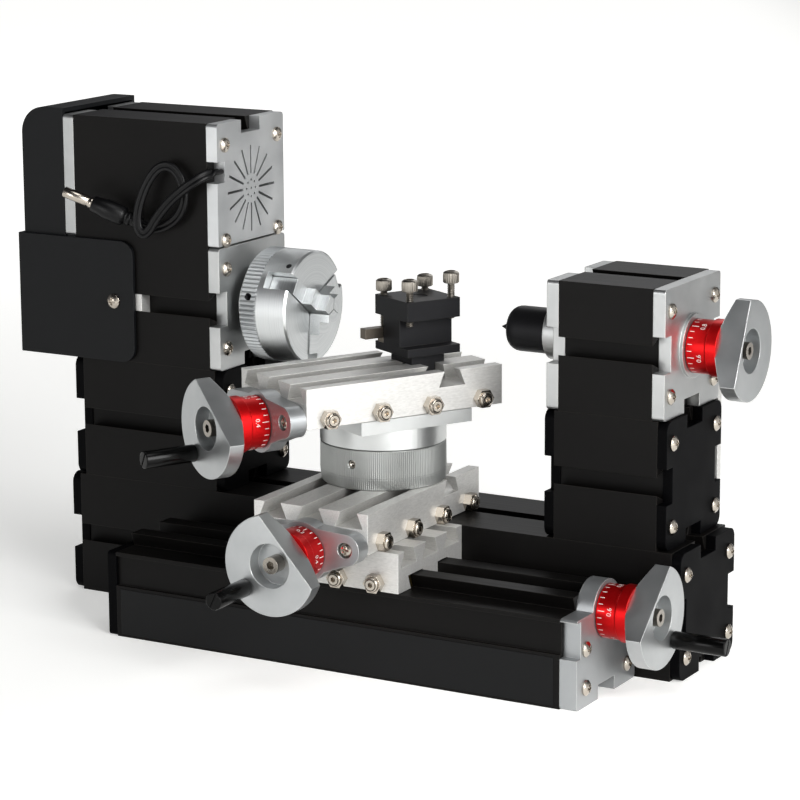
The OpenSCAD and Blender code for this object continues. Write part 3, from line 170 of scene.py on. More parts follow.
# a closed section swept along a route; the section's second axis stays square to "level"
def sweepSection(name, route, section, level=Vector((0, 1, 0))):
    vertices, faces, count = [], [], len(section)
    lastAcross = Vector((1, 0, 0))
    leastAcross = 0.2  # below this the route runs along "level", and the section keeps its last turn
    for i, point in enumerate(route):
        ahead = (route[min(i + 1, len(route) - 1)] - route[max(i - 1, 0)]).normalized()
        across = ahead.cross(level)
        across = across.normalized() if across.length > leastAcross else lastAcross
        lastAcross = across
        up = across.cross(ahead).normalized()
        vertices += [point + across * u + up * v for u, v in section]
    for i in range(len(route) - 1):
        for k in range(count):
            a, b = i * count + k, i * count + (k + 1) % count
            faces.append((b, a, a + count, b + count))
    last = (len(route) - 1) * count
    faces += [tuple(range(count)), tuple(range(last, last + count))[::-1]]
    return makeObject(name, vertices, faces)


print("Power lead")
lead = {
    "strand": 2.1,    # mm, each of the two strands
    "width": 4.1,     # mm, both strands side by side
    "strandPoints": 13, "strandArc": 148,  # degrees of a strand on each side of its outermost line
    # the same points as the solid lead, in mm
    "route": [(-67, -19.5, 180.5), (-67, -21.5, 180.5), (-67.2, -24.5, 180.4), (-68.2, -28, 179.8),
              (-70.6, -31, 178), (-74.5, -32.8, 175), (-79.5, -33.5, 171), (-84.2, -33.5, 166.6),
              (-88.6, -33.5, 161.4), (-91.6, -33.5, 157.2), (-94.6, -33.5, 155.2), (-97, -33.5, 157.2),
              (-97.6, -33.4, 162), (-96.4, -32.6, 168.6), (-93.8, -31.4, 175.4), (-90, -30.2, 180.8),
              (-86, -29.4, 182.6), (-82, -29.2, 181.2), (-79, -29.2, 177.2), (-77.8, -29.2, 172),
              (-78.4, -29.2, 167), (-81, -29.2, 162.6), (-85, -29.2, 159.4), (-90, -29.2, 157.4),
              (-95, -29.4, 157.2), (-99, -30, 158.6), (-102.4, -31, 160.2)],
    "plugDirection": (-0.88, -0.3, 0.36),
    "plugWidth": 8.2, "barrelStart": 17, "barrelWidth": 4.4,
    # ribbed strain relief: along the plug and radius
    "relief": [(-5, 2.2), (-4.8, 2.4), (-3.6, 2.5), (-3.4, 2.2), (-2.6, 2.2), (-2.4, 2.6), (-1.2, 2.7),
               (-1, 2.3), (-0.2, 2.3), (0, 2.8), (1.2, 2.9), (1.4, 2.5), (2.2, 2.5), (2.4, 3.0)],
    # moulded body and metal barrel: along, and how far inside the full radius
    "plug": [(3, 0.5), (3.8, 0), (11, 0), (12.5, 0.4), (16.5, 0.9), (16.9, 1.2), (17, 1.6)],
    "barrel": [(-1, 0), (1.2, 0), (1.4, 0.25), (2, 0.25), (2.2, 0), (12.3, 0), (12.6, 0.3), (12.6, 0.9),
               (5.6, 0.9)],
}


# two round strands joined in the middle, in metres
def twinSection():
    radius = lead["strand"] / 2 * mm
    offset = (lead["width"] - lead["strand"]) / 2 * mm
    count, arc = lead["strandPoints"], math.radians(lead["strandArc"])
    section = []
    for side in (1, -1):
        for k in range(count):
            angle = arc * (2 * k / (count - 1) - 1)
            section.append((side * (offset + radius * math.cos(angle)), side * radius * math.sin(angle)))
    return section


# a turned solid: rings are (along, radius) in mm from an origin in metres
def ringsAlong(name, origin, direction, rings, sides=32):
    direction = Vector(direction).normalized()
    side = direction.orthogonal().normalized()
    up = direction.cross(side)
    vertices, faces = [], []
    for along, radius in rings:
        for k in range(sides):
            angle = 2 * math.pi * k / sides
            vertices.append(Vector(origin) + direction * along * mm
                            + (side * math.cos(angle) + up * math.sin(angle)) * radius * mm)
    for i in range(len(rings) - 1):
        for k in range(sides):
            a, b = i * sides + k, i * sides + (k + 1) % sides
            faces.append((a, b, b + sides, a + sides))
    faces.append(tuple(range(sides))[::-1])
    faces.append(tuple(range((len(rings) - 1) * sides, len(rings) * sides)))
    return makeObject(name, vertices, faces)


def makeLead():
    route = smoothRoute([[v * mm for v in p] for p in lead["route"]])
    cord = sweepSection("powerLead", route, twinSection())
    end = Vector(lead["route"][-1]) * mm
    half = lead["plugWidth"] / 2
    plug = ringsAlong("plugBody", end, lead["plugDirection"],
                      lead["relief"] + [(along, half - inset) for along, inset in lead["plug"]])
    start, half = lead["barrelStart"], lead["barrelWidth"] / 2
    barrel = ringsAlong("plugBarrel", end, lead["plugDirection"],
                        [(start + along, half - inset) for along, inset in lead["barrel"]])
    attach(cord, "frame")
    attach(plug, "frame")
    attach(barrel, "frame")
    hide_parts("power_lead")
    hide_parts("power_plug")
    return cord, plug, barrel


leadCord, plugBody, plugBarrel = makeLead()

print("Materials")


# black anodised aluminium, extruded and fine-blasted: a warm black sheen with faint draw lines
extruded = {
    "dark": "#080707", "light": "#0f0e0d", "edgeWornAndLit": "#6a655e", "edgeWearAndLight": 0.12,
    # mm along x, y and z, and levels of detail
    "lines": (60, 0.5, 0.5, 3.0), "blast": (0.35, 0.35, 0.35, 2.0), "cloud": (45, 30, 30, 3.0),
    "smoothest": 0.36, "roughest": 0.46, "specular": 0.1,
    "lineShare": 0.6, "strength": 0.18, "depth": 0.05, "softEdge": 0.35,  # mm
}


def anodisedExtrusion():
    look = extruded
    material, tree, shader = startMaterial("blackAnodisedExtrusion")
    lines = grainNoise(tree, *look["lines"])
    blast = grainNoise(tree, *look["blast"])
    cloud = grainNoise(tree, *look["cloud"])
    edges = addNode(tree, "Bevel", {"samples": surface["bevelSamples"]},
                    {"Radius": look["softEdge"] * mm}).outputs[0]
    base = addNode(tree, "Mix", {"data_type": "RGBA"},
                   {0: cloud, 6: toLinear(look["dark"]), 7: toLinear(look["light"])}).outputs[2]
    colour = wornColour(tree, edges, look["edgeWearAndLight"], base, look["edgeWornAndLit"])
    height = addNode(tree, "Math", {"operation": "MULTIPLY_ADD"},
                     {0: lines, 1: look["lineShare"], 2: blast}).outputs[0]
    completeFinish(tree, shader, colour, lines, look["smoothest"], look["roughest"], height,
                   look["strength"], look["depth"], edges)
    shader.inputs["Specular IOR Level"].default_value = look["specular"]
    return material


# milled aluminium with a satin anodise: a sandy grain drawn out along the slide, and bright edges, partly
# broken metal and partly a painted highlight
milled = {
    "dark": "#bcbbb8", "light": "#e4e3e0", "edgeWornAndLit": "#f4f3ef", "edgeWearAndLight": 0.6,
    # mm, coarser than the real cutter lines, which are too fine to show
    "grainLength": 1.6, "grainWidth": 0.45, "grainDetail": 3.0, "cloud": (18, 18, 18, 3.0),
    "smoothest": 0.44, "roughest": 0.54, "metallic": 0.75,
    "strength": 0.4, "depth": 0.04, "softEdge": 0.3,  # mm
}


def milledAluminium(name, alongX, alongY):
    look = milled
    material, tree, shader = startMaterial(name)
    place = addNode(tree, "TexCoord")
    aligned = addNode(tree, "Mapping", None, {"Vector": place.outputs["Object"],
                                              "Rotation": (0, 0, -math.atan2(alongY, alongX))})
    scale = (1 / (look["grainLength"] * mm), 1 / (look["grainWidth"] * mm), 1 / (look["grainWidth"] * mm))
    squeezed = addNode(tree, "Mapping", None, {"Vector": aligned.outputs[0], "Scale": scale})
    grain = addNode(tree, "TexNoise", None, {"Vector": squeezed.outputs[0], "Scale": 1.0,
                                             "Detail": look["grainDetail"]}).outputs[0]
    cloud = grainNoise(tree, *look["cloud"])
    edges = addNode(tree, "Bevel", {"samples": surface["bevelSamples"]},
                    {"Radius": look["softEdge"] * mm}).outputs[0]
    base = addNode(tree, "Mix", {"data_type": "RGBA"},
                   {0: grain, 6: toLinear(look["dark"]), 7: toLinear(look["light"])}).outputs[2]
    colour = wornColour(tree, edges, look["edgeWearAndLight"], base, look["edgeWornAndLit"])
    completeFinish(tree, shader, colour, cloud, look["smoothest"], look["roughest"], grain,
                   look["strength"], look["depth"], edges)
    shader.inputs["Metallic"].default_value = look["metallic"]
    return material


# steel turned on a lathe: rings of tool marks round the spindle's axis give a stretched highlight
turned = {
    "axis": (1, 0, 0), "origin": (0, 0, spindleHeight * mm),
    "dark": "#c4c7c8", "light": "#e2e4e4", "edgeWornAndLit": "#e6e3dc", "edgeWearAndLight": 0.2,
    "ringSize": 0.5, "ringDetail": 2.0, "cloud": (9, 9, 9, 3.0),  # mm, coarse enough to show
    "smoothest": 0.29, "roughest": 0.38,
    "strength": 0.15, "depth": 0.04, "softEdge": 0.25,  # mm
}


def turnedSteel():
    look = turned
    material, tree, shader = startMaterial("turnedChuckSteel")
    place = addNode(tree, "TexCoord")
    moved = addNode(tree, "VectorMath", {"operation": "SUBTRACT"},
                    {0: place.outputs["Object"], 1: look["origin"]}).outputs[0]
    along = addNode(tree, "VectorMath", {"operation": "DOT_PRODUCT"},
                    {0: moved, 1: look["axis"]}).outputs["Value"]
    squared = addNode(tree, "VectorMath", {"operation": "DOT_PRODUCT"},
                      {0: moved, 1: moved}).outputs["Value"]
    alongSquared = addNode(tree, "Math", {"operation": "MULTIPLY"}, {0: along, 1: along}).outputs[0]
    outSquared = addNode(tree, "Math", {"operation": "SUBTRACT"},
                         {0: squared, 1: alongSquared}).outputs[0]
    out = addNode(tree, "Math", {"operation": "SQRT"}, {0: outSquared}).outputs[0]
    rings = addNode(tree, "CombineXYZ", None, {0: along, 1: out}).outputs[0]
    scaled = addNode(tree, "VectorMath", {"operation": "SCALE"},
                     {0: rings, "Scale": 1 / (look["ringSize"] * mm)}).outputs[0]
    marks = addNode(tree, "TexNoise", {"noise_dimensions": "2D"},
                    {"Vector": scaled, "Scale": 1.0, "Detail": look["ringDetail"]}).outputs[0]
    cloud = grainNoise(tree, *look["cloud"])
    edges = addNode(tree, "Bevel", {"samples": surface["bevelSamples"]},
                    {"Radius": look["softEdge"] * mm}).outputs[0]
    base = addNode(tree, "Mix", {"data_type": "RGBA"},
                   {0: marks, 6: toLinear(look["dark"]), 7: toLinear(look["light"])}).outputs[2]
    colour = wornColour(tree, edges, look["edgeWearAndLight"], base, look["edgeWornAndLit"])
    completeFinish(tree, shader, colour, cloud, look["smoothest"], look["roughest"], marks,
                   look["strength"], look["depth"], edges)
    shader.inputs["Metallic"].default_value = 1.0
    return material


# moulded, cast or plated: an even colour with a fine grain, and soft edges where softEdge isn't 0
even = {
    "cloud": (22, 22, 22, 4.0), "grainDetail": 3.0, "depth": 0.05,  # mm
    "edgeWearAndLight": 0.45, "roughnessSpread": 0.05,
}


def evenFinish(name, dark, light, roughness, grain, strength, metallic=0.0, edgeWornAndLitTo=None, specular=0.5,
               softEdge=0.4):
    material, tree, shader = startMaterial(name)
    fine = grainNoise(tree, grain, grain, grain, even["grainDetail"])
    cloud = grainNoise(tree, *even["cloud"])
    edges = addNode(tree, "Bevel", {"samples": surface["bevelSamples"]},
                    {"Radius": softEdge * mm}).outputs[0] if softEdge else None
    colour = addNode(tree, "Mix", {"data_type": "RGBA"},
                     {0: cloud, 6: toLinear(dark), 7: toLinear(light)}).outputs[2]
    # lighter edges: partly wear and partly a painted highlight
    if edgeWornAndLitTo:
        colour = wornColour(tree, edges, even["edgeWearAndLight"], colour, edgeWornAndLitTo)
    completeFinish(tree, shader, colour, cloud, roughness - even["roughnessSpread"],
                   roughness + even["roughnessSpread"], fine, strength, even["depth"], edges)
    shader.inputs["Metallic"].default_value = metallic
    shader.inputs["Specular IOR Level"].default_value = specular
    return material


# the name of each material and what it looks like; grain in mm
evenFinishes = {
    # glass-filled nylon, moulded: a deep, slightly bluish black
    "blackPlate": dict(name="blackMouldedNylon", dark="#030304", light="#060607", roughness=0.5, grain=0.5,
                       strength=0.12, edgeWornAndLitTo="#161719", specular=0.03),
    # ABS, moulded with a fine spark texture: an even satin black
    "blackCover": dict(name="blackTexturedAbs", dark="#08090a", light="#0f1012", roughness=0.45, grain=0.3,
                       strength=0.2, edgeWornAndLitTo="#242628", specular=0.15),
    # zinc die casting with silver paint: a soft metallic grey with a fine grain
    "silverPlate": dict(name="silverPaintedZinc", dark="#909293", light="#c9cac9", roughness=0.36,
                        grain=0.3, strength=0.3, metallic=0.92, edgeWornAndLitTo="#f3f2ec"),
    # the same casting with fine slots, in a lighter colour as painted light, and with no worn or
    # highlighted edges, so that the slots stay dark
    "silverVentLit": dict(name="silverVentPaintedLight", dark="#a3a6a8", light="#dcdddd", roughness=0.36,
                       grain=0.3, strength=0.3, metallic=0.88, softEdge=0.1),
    # the same paint on the brackets' round shapes: a little rougher, and darker as painted shade, since
    # the brackets stand in shade
    "silverBracketShaded": dict(name="silverBracketPaintedShade", dark="#929597", light="#b0b2b3", roughness=0.4,
                          grain=0.5, strength=0.25, metallic=0.8, edgeWornAndLitTo="#efeee8"),
    # the same paint on the wheels and the pulley: a little smoother, with a clearer reflection
    "wheel": dict(name="silverPaintedWheel", dark="#8f9294", light="#c9cbcb", roughness=0.34, grain=0.3,
                  strength=0.3, metallic=0.92, edgeWornAndLitTo="#f4f4f0"),
    # turned steel, knurled: the ribs alone catch the light
    "knurledSteel": dict(name="knurledSteel", dark="#a4a7a9", light="#bfc2c3", roughness=0.42, grain=0.3,
                         strength=0.03, metallic=0.95, softEdge=0),
    # turned aluminium, finely knurled: a duller grey with a fine vertical line
    "ring": dict(name="knurledAluminium", dark="#8a8c8a", light="#adafad", roughness=0.42, grain=0.3,
                 strength=0.2, metallic=0.9, softEdge=0),
    # turned aluminium, plain: a bright satin band
    "disc": dict(name="turnedAluminium", dark="#bcbebd", light="#dfe1e0", roughness=0.38, grain=0.3,
                 strength=0.1, metallic=0.95, softEdge=0),
    # nickel-plated steel: bright and slightly warm
    "nickel": dict(name="nickelPlatedSteel", dark="#a29a8f", light="#c9c1b6", roughness=0.2, grain=0.3,
                   strength=0.06, metallic=1.0, softEdge=0.2),
    # the same plating over a knurl: greyer, because the ribs shade each other
    "knurledNickel": dict(name="knurledNickelSteel", dark="#8b867e", light="#aba59c", roughness=0.3,
                          grain=0.3, strength=0.06, metallic=1.0, softEdge=0),
    # the same plating on threads, bearings and the motor's case: darker, as painted shade for parts that
    # sit in recesses
    "shadedNickel": dict(name="nickelSteelPaintedShade", dark="#8a847c", light="#aea89f", roughness=0.26, grain=0.3,
                       strength=0.08, metallic=1.0, softEdge=0.2),
    # brass strip, rolled: a dull yellow brown
    "brassGib": dict(name="ageingBrass", dark="#6b5b35", light="#8a7748", roughness=0.35, grain=0.4,
                     strength=0.15, metallic=1.0),
    # aluminium, turned and anodised red: a saturated satin red, with a brighter red along the edges as a
    # painted highlight
    "redDial": dict(name="redAnodisedDial", dark="#b80a0e", light="#cf1014", roughness=0.34, grain=0.3,
                    strength=0.1, metallic=0.8, edgeWornAndLitTo="#e2251f", specular=0.3),
    # phenolic, moulded and polished: deep black with one narrow streak of light
    "grip": dict(name="polishedPhenolic", dark="#030303", light="#060606", roughness=0.2, grain=0.6,
                 strength=0.03, specular=0.14),
    # steel, milled and black oxidised: a soft blue-black
    "blackSteel": dict(name="blackOxideSteel", dark="#151517", light="#212123", roughness=0.46, grain=0.3,
                       strength=0.12, metallic=0.4, edgeWornAndLitTo="#45443f", specular=0.2),
    # tool steel, ground: a brown grey with bright corners, partly ground metal and partly a painted
    # highlight
    "bit": dict(name="groundToolSteel", dark="#4d4740", light="#7a7268", roughness=0.34, grain=0.3,
                strength=0.15, metallic=1.0, edgeWornAndLitTo="#b5ada0"),
    # PVC, extruded: a satin black with narrow reflections
    "leadPvc": dict(name="satinPvc", dark="#050506", light="#0a0a0b", roughness=0.36, grain=0.6,
                    strength=0.08, specular=0.2),
    # enamel rubbed into engraved marks: a flat white
    "whitePaint": dict(name="engravedWhitePaint", dark="#e4dfdb", light="#f4f1ee", roughness=0.5,
                       grain=0.3, strength=0.1),
    # polyester film: a smooth satin black
    "labelFilm": dict(name="blackLabelFilm", dark="#0b0b0c", light="#101112", roughness=0.4, grain=3.0,
                      strength=0.03, specular=0.15),
    # rubber, moulded: a dull dark grey
    "beltRubber": dict(name="beltRubber", dark="#101010", light="#191919", roughness=0.7, grain=0.4,
                       strength=0.3),
}
finishes = {key: evenFinish(**values) for key, values in evenFinishes.items()}
finishes["blackExtrusion"] = anodisedExtrusion()
finishes["tableX"] = milledAluminium("milledTableX", 1, 0)
finishes["tableY"] = milledAluminium("milledTableY", 0, 1)
# the top slide stands at an angle, and its grain runs with it
finishes["tableTop"] = milledAluminium("milledTopTable", 0.477, 0.879)
# flat strip and connectors, rolled: the same sandy grain, drawn out across the bed
finishes["strip"] = milledAluminium("rolledStrip", 0, 1)
finishes["turnedChuck"] = turnedSteel()

nodeFinishes = {
    "blackExtrusion": ["main_bed", "risers", "headstock_body", "tailstock_body", "long_bed"],
    "blackPlate": ["black_end_plates"],
    "blackCover": ["belt_cover", "belt_guard"],
    "silverPlate": ["headstock_plates", "tailstock_left_plate", "tailstock_right_plate"],
    "silverVentLit": ["motor_vent_plate"],
    "silverBracketShaded": ["long_bracket", "cross_bracket", "top_bracket"],
    "tableX": ["saddle"],
    "tableY": ["cross_table"],
    "tableTop": ["top_table"],
    "strip": ["rear_strip", "groove_connectors"],
    "turnedChuck": ["spindle", "chuck_body", "scroll_ring", "chuck_jaw_1", "chuck_jaw_2", "chuck_jaw_3"],
    "ring": ["swivel_ring"],
    "disc": ["swivel_disc"],
    "nickel": ["frame_screws", "clamp_screws", "saddle_screws", "cross_screws", "top_screws"],
    "shadedNickel": ["cross_leadscrew", "top_leadscrew", "long_leadscrew", "tail_leadscrew",
                   "spindle_bearings", "motor"],
    "brassGib": ["saddle_gib", "cross_gib", "top_gib"],
    "redDial": ["long_dial", "cross_dial", "top_dial", "tail_dial"],
    "wheel": ["long_wheel", "cross_wheel", "top_wheel", "tail_wheel", "motor_pulley"],
    "grip": ["long_grip", "cross_grip", "top_grip"],
    "blackSteel": ["quill", "tool_post"],
    "bit": ["tool_bit"],
    "leadPvc": ["power_lead", "power_plug"],
    "beltRubber": ["drive_belt"],
}


def setFinish(piece, key):
    piece.data.materials.clear()
    piece.data.materials.append(finishes[key])


for finishKey, names in nodeFinishes.items():
    for nodeName in names:
        setFinish(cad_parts[nodeName], finishKey)
setFinish(leadCord, "leadPvc")
setFinish(plugBody, "leadPvc")
setFinish(plugBarrel, "nickel")


# a piece of the object: on its body, with its finish
def addPiece(piece, body, slot, finish, *nodes):
    setFinish(piece, finish)
    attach(piece, body)
    if nodes:
        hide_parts(*nodes)


# cuts other meshes out of a piece and drops them
def cutOut(piece, cutters):
    for cutter in cutters:
        modifier = piece.modifiers.new("cut", "BOOLEAN")
        modifier.object = cutter
        modifier.solver = "EXACT"
    bpy.context.view_layer.update()
    graph = bpy.context.evaluated_depsgraph_get()
    mesh = bpy.data.meshes.new_from_object(piece.evaluated_get(graph))
    piece.modifiers.clear()
    piece.data = mesh
    for cutter in cutters:
        bpy.data.objects.remove(cutter)


knurl = {
    "samples": 6,  # points across each groove
    "narrow": 0.7,  # below 1 the grooves are wider than the ribs
}


# a ring knurled lengthwise: profile points are (along, radius, knurl depth), in mm, bore included
def knurledRing(name, origin, axis, profile, teeth):
    axis = Vector(axis).normalized()
    side = axis.orthogonal().normalized()
    up = axis.cross(side)
    samples = knurl["samples"]
    sides = teeth * samples
    vertices, faces = [], []
    for along, radius, depth in profile:
        for k in range(sides):
            share = (k % samples) / samples
            dip = depth * (0.5 - 0.5 * math.cos(2 * math.pi * share)) ** knurl["narrow"]
            angle = 2 * math.pi * k / sides
            vertices.append(Vector(origin) * mm + axis * along * mm
                            + (side * math.cos(angle) + up * math.sin(angle)) * (radius - dip) * mm)
    count = len(profile)
    for i in range(count):
        for k in range(sides):
            a, b = i * sides + k, i * sides + (k + 1) % sides
            c = ((i + 1) % count) * sides
            faces.append((a, b, c + (k + 1) % sides, c + k))
    return makeObject(name, vertices, faces, False)


print("Chuck pin hole")
chuckPinShade = {
    "along": -38.7, "turn": 126.2, "width": 2.4,  # mm and degrees
    "chuckRadius": 23.0, "lift": 0.02, "depth": 0.3, "sides": 20,
}


# painted shade for a pin hole on the chuck's side: a thin black patch that follows the round side, where
# the hole is dark inside
def makeChuckPin():
    pin = chuckPinShade
    sides, half = pin["sides"], pin["width"] / 2
    vertices = []
    for radius in (pin["chuckRadius"] + pin["lift"], pin["chuckRadius"] - pin["depth"]):
        for k in range(sides):
            angle = 2 * math.pi * k / sides
            turn = math.radians(pin["turn"]) + half * math.sin(angle) / pin["chuckRadius"]
            vertices.append(Vector((pin["along"] + half * math.cos(angle), radius * math.cos(turn),
                                    spindleHeight + radius * math.sin(turn))) * mm)
    faces = [(k, (k + 1) % sides, sides + (k + 1) % sides, sides + k) for k in range(sides)]
    faces += [tuple(range(sides))[::-1], tuple(range(sides, 2 * sides))]
    addPiece(makeObject("chuckPinHoleShade", vertices, faces, False), "spindle", "steel_bright", "blackSteel")


makeChuckPin()

print("Knurled rings")
scrollRing = {
    "back": -56.8, "width": 7.5, "radius": 23.0, "bore": 16.08,  # mm
    "teeth": 78, "depth": 0.55, "rim": 0.5,
    "holes": 3, "holeTurn": 164, "holeWidth": 3.0, "holeDepth": 6.4,
    # how much wider and how far below the rim and above the bore a face still counts as a hole's wall,
    # which takes a black finish as painted shade
    "holeMargin": 0.05, "rimMargin": 1.2, "boreMargin": 0.3,
}
swivelRing = {
    "place": (11.7, -26.5, 65.9), "radius": 24.8, "teeth": 190, "depth": 0.16,  # mm
    # up from the foot, radius, share of the knurl's depth
    "profile": [(0, 9, 0), (16, 9, 0), (16, 24.2, 0), (15.6, 24.6, 0), (15.2, 24.7, 1), (5, 24.8, 1),
                (4.7, 24.75, 1), (4.2, 24.74, 1), (0.4, 24.35, 1), (0, 23.95, 0)],
    "screwRise": 10, "screwWidth": 3.6, "screwDepth": 3.0,
    # outwards from the foot of the screw's hole, and radius
    "screw": [(0.2, 1.74), (1.9, 1.74), (2.2, 1.4), (2.2, 1.0), (0.9, 1.0)],
}


def makeScrollRing():
    ring = scrollRing
    back, width, radius, rim = ring["back"], ring["width"], ring["radius"], ring["rim"]
    profile = [(0, ring["bore"], 0), (width, ring["bore"], 0), (width, radius - rim, 0),
               (width - rim, radius, ring["depth"]), (rim, radius, ring["depth"]), (0, radius - rim, 0)]
    piece = knurledRing("scrollRingKnurl", (back, 0, spindleHeight), (1, 0, 0), profile[::-1],
                        ring["teeth"])
    centre = Vector((back + width / 2, 0, spindleHeight))
    half, depth = ring["holeWidth"] / 2, ring["holeDepth"]
    cutters = []
    for k in range(ring["holes"]):
        angle = math.radians(ring["holeTurn"] + 360 / ring["holes"] * k)
        outward = Vector((0, math.cos(angle), math.sin(angle)))
        place = centre + outward * (radius - depth)
        cutters.append(ringsAlong("holeCut", place * mm, outward, [(0, half), (depth + overrun, half)]))
    cutOut(piece, cutters)
    addPiece(piece, "scroll", "steel_bright", "knurledSteel", "scroll_ring")
    # the walls of the holes take the black oxide finish: painted shade for the darkness deep in each hole
    piece.data.materials.append(finishes["blackSteel"])
    for polygon in piece.data.polygons:
        offset = polygon.center - centre * mm
        inHole = abs(offset.x) < (half + ring["holeMargin"]) * mm
        belowRim = offset.length < (radius - ring["rimMargin"]) * mm
        if inHole and belowRim and offset.length > (ring["bore"] + ring["boreMargin"]) * mm:
            polygon.material_index = 1


makeScrollRing()


def makeSwivelRing():
    ring = swivelRing
    profile = [(along, radius, share * ring["depth"]) for along, radius, share in ring["profile"]]
    piece = knurledRing("swivelRingKnurl", ring["place"], (0, 0, 1), profile, ring["teeth"])
    outward = Vector((0, -1, 0))
    half, depth = ring["screwWidth"] / 2, ring["screwDepth"]
    place = Vector(ring["place"]) + Vector((0, 0, ring["screwRise"])) + outward * (ring["radius"] - depth)
    cutOut(piece, [ringsAlong("screwCut", place * mm, outward, [(0, half), (depth + overrun, half)])])
    screw = ringsAlong("swivelSetScrew", place * mm, outward, ring["screw"])
    addPiece(piece, "cross_slide", "ring_silver", "ring", "swivel_ring")
    # the set screw takes the darker nickel, painted shade for its sunk place
    addPiece(screw, "cross_slide", "steel_screw", "shadedNickel")


makeSwivelRing()

print("Dial marks")
topTurn = math.radians(61.5)
towardsWheel = (-math.cos(topTurn), -math.sin(topTurn), 0)  # along the top slide
dialMarks = {
    "radius": 10.3, "lift": 0.03, "weld": 0.001,  # mm
    "ticks": 25, "ticksPerNumber": 5,
    "tickWidth": 0.26, "tickDepth": 0.1, "tickStart": 0.6, "tickShort": 1.8, "tickLong": 2.8,
    "digitHeight": 2.0, "digitStart": 5.4, "digitDepth": 0.01, "digitThinning": 0.03,
    "fontShare": 1.35,  # font size for a digit's height of 1
    "digitCurves": 3,   # pieces of each curve
    # body, the dial's end at its bracket in mm, the way to its wheel, turn and number of its first mark
    "dials": [("long_crank", (120.8, -50, 32.6), (1, 0, 0), 4.0, 8),
              ("tail_crank", (132.8, 0, spindleHeight), (1, 0, 0), 33.5, 8),
              ("cross_crank", (11.7, -89.3, 50), (0, -1, 0), -90.5, 4),
              ("top_crank", (-15.164, -75.977, 94.9), towardsWheel, -79.0, 4)],
}


def textMesh(text, height):
    curve = bpy.data.curves.new("digits", "FONT")
    curve.body = text
    curve.size = height * dialMarks["fontShare"] * mm
    curve.extrude = dialMarks["digitDepth"] * mm
    curve.offset = -dialMarks["digitThinning"] * mm
    curve.align_x = "CENTER"
    curve.align_y = "CENTER"
    curve.resolution_u = dialMarks["digitCurves"]
    holder = bpy.data.objects.new("digits", curve)
    bpy.context.scene.collection.objects.link(holder)
    bpy.context.view_layer.update()
    mesh = bpy.data.meshes.new_from_object(holder.evaluated_get(bpy.context.evaluated_depsgraph_get()))
    bpy.data.objects.remove(holder)
    return mesh


def makeDialMarks(body, place, direction, turn, firstNumber):
    marks = dialMarks
    direction = Vector(direction).normalized()
    side = Vector((0, 0, 1))
    across = direction.cross(side)
    joined = bmesh.new()
    radius = marks["radius"] + marks["lift"]
    for k in range(marks["ticks"]):
        angle = math.radians(turn) + 2 * math.pi * k / marks["ticks"]
        outward = side * math.cos(angle) + across * math.sin(angle)
        around = across * math.cos(angle) - side * math.sin(angle)
        numbered = k % marks["ticksPerNumber"] == 0
        length = marks["tickLong"] if numbered else marks["tickShort"]
        base = Vector(place) + outward * radius
        half = around * marks["tickWidth"] / 2
        corners = []
        for lift in (-marks["tickDepth"], 0):
            for along, sideways in ((0, -1), (0, 1), (length, 1), (length, -1)):
                corners.append(joined.verts.new((base + outward * lift + half * sideways
                                                 + direction * (marks["tickStart"] + along)) * mm))
        for face in boxFaces:
            joined.faces.new([corners[i] for i in face])
        if numbered:
            number = (firstNumber - 2 * (k // marks["ticksPerNumber"])) % 10
            mesh = textMesh("0." + str(number), marks["digitHeight"])
            place4 = Matrix((-around, -direction, outward)).transposed().to_4x4()
            place4.translation = (base + direction * marks["digitStart"]) * mm
            mesh.transform(place4)
            joined.from_mesh(mesh)
            bpy.data.meshes.remove(mesh)
    bmesh.ops.remove_doubles(joined, verts=joined.verts, dist=marks["weld"] * mm)
    bmesh.ops.recalc_face_normals(joined, faces=joined.faces)
    mesh = bpy.data.meshes.new(body + "Marks")
    joined.to_mesh(mesh)
    joined.free()
    piece = bpy.data.objects.new(body + "Marks", mesh)
    bpy.context.scene.collection.objects.link(piece)
    addPiece(piece, body, "dial_red", "whitePaint")


for body, place, direction, turn, firstNumber in dialMarks["dials"]:
    makeDialMarks(body, place, direction, turn, firstNumber)

print("Grips")
grips = {
    "width": 6.78, "length": 21.7, "sides": 64, "sharpAngle": 40,  # mm and degrees
    # along and radius, from the pin's bore at the inner end
    "profile": [(0, 1.65), (0, 2.89), (0.15, 3.24), (0.5, 3.39), (21.2, 3.39), (21.55, 3.24),
                (21.7, 2.89), (21.7, 2.69)],
    "pinWidth": 3.3, "pinEnd": 1.6, "pinSides": 32,
    "slotWidth": 0.9, "slotDepth": 0.5, "slotTurn": 0.35,  # turn in radians
    # node, body, the inner end of the axis in mm, the way outwards
    "places": [("long_grip", "long_grip", (143.4, -40.49, 21.92), (1, 0, 0)),
               ("cross_grip", "cross_grip", (1.04, -111.9, 40.47), (0, -1, 0)),
               ("top_grip", "top_grip", (-33.823, -91.555, 83.76), towardsWheel)],
}


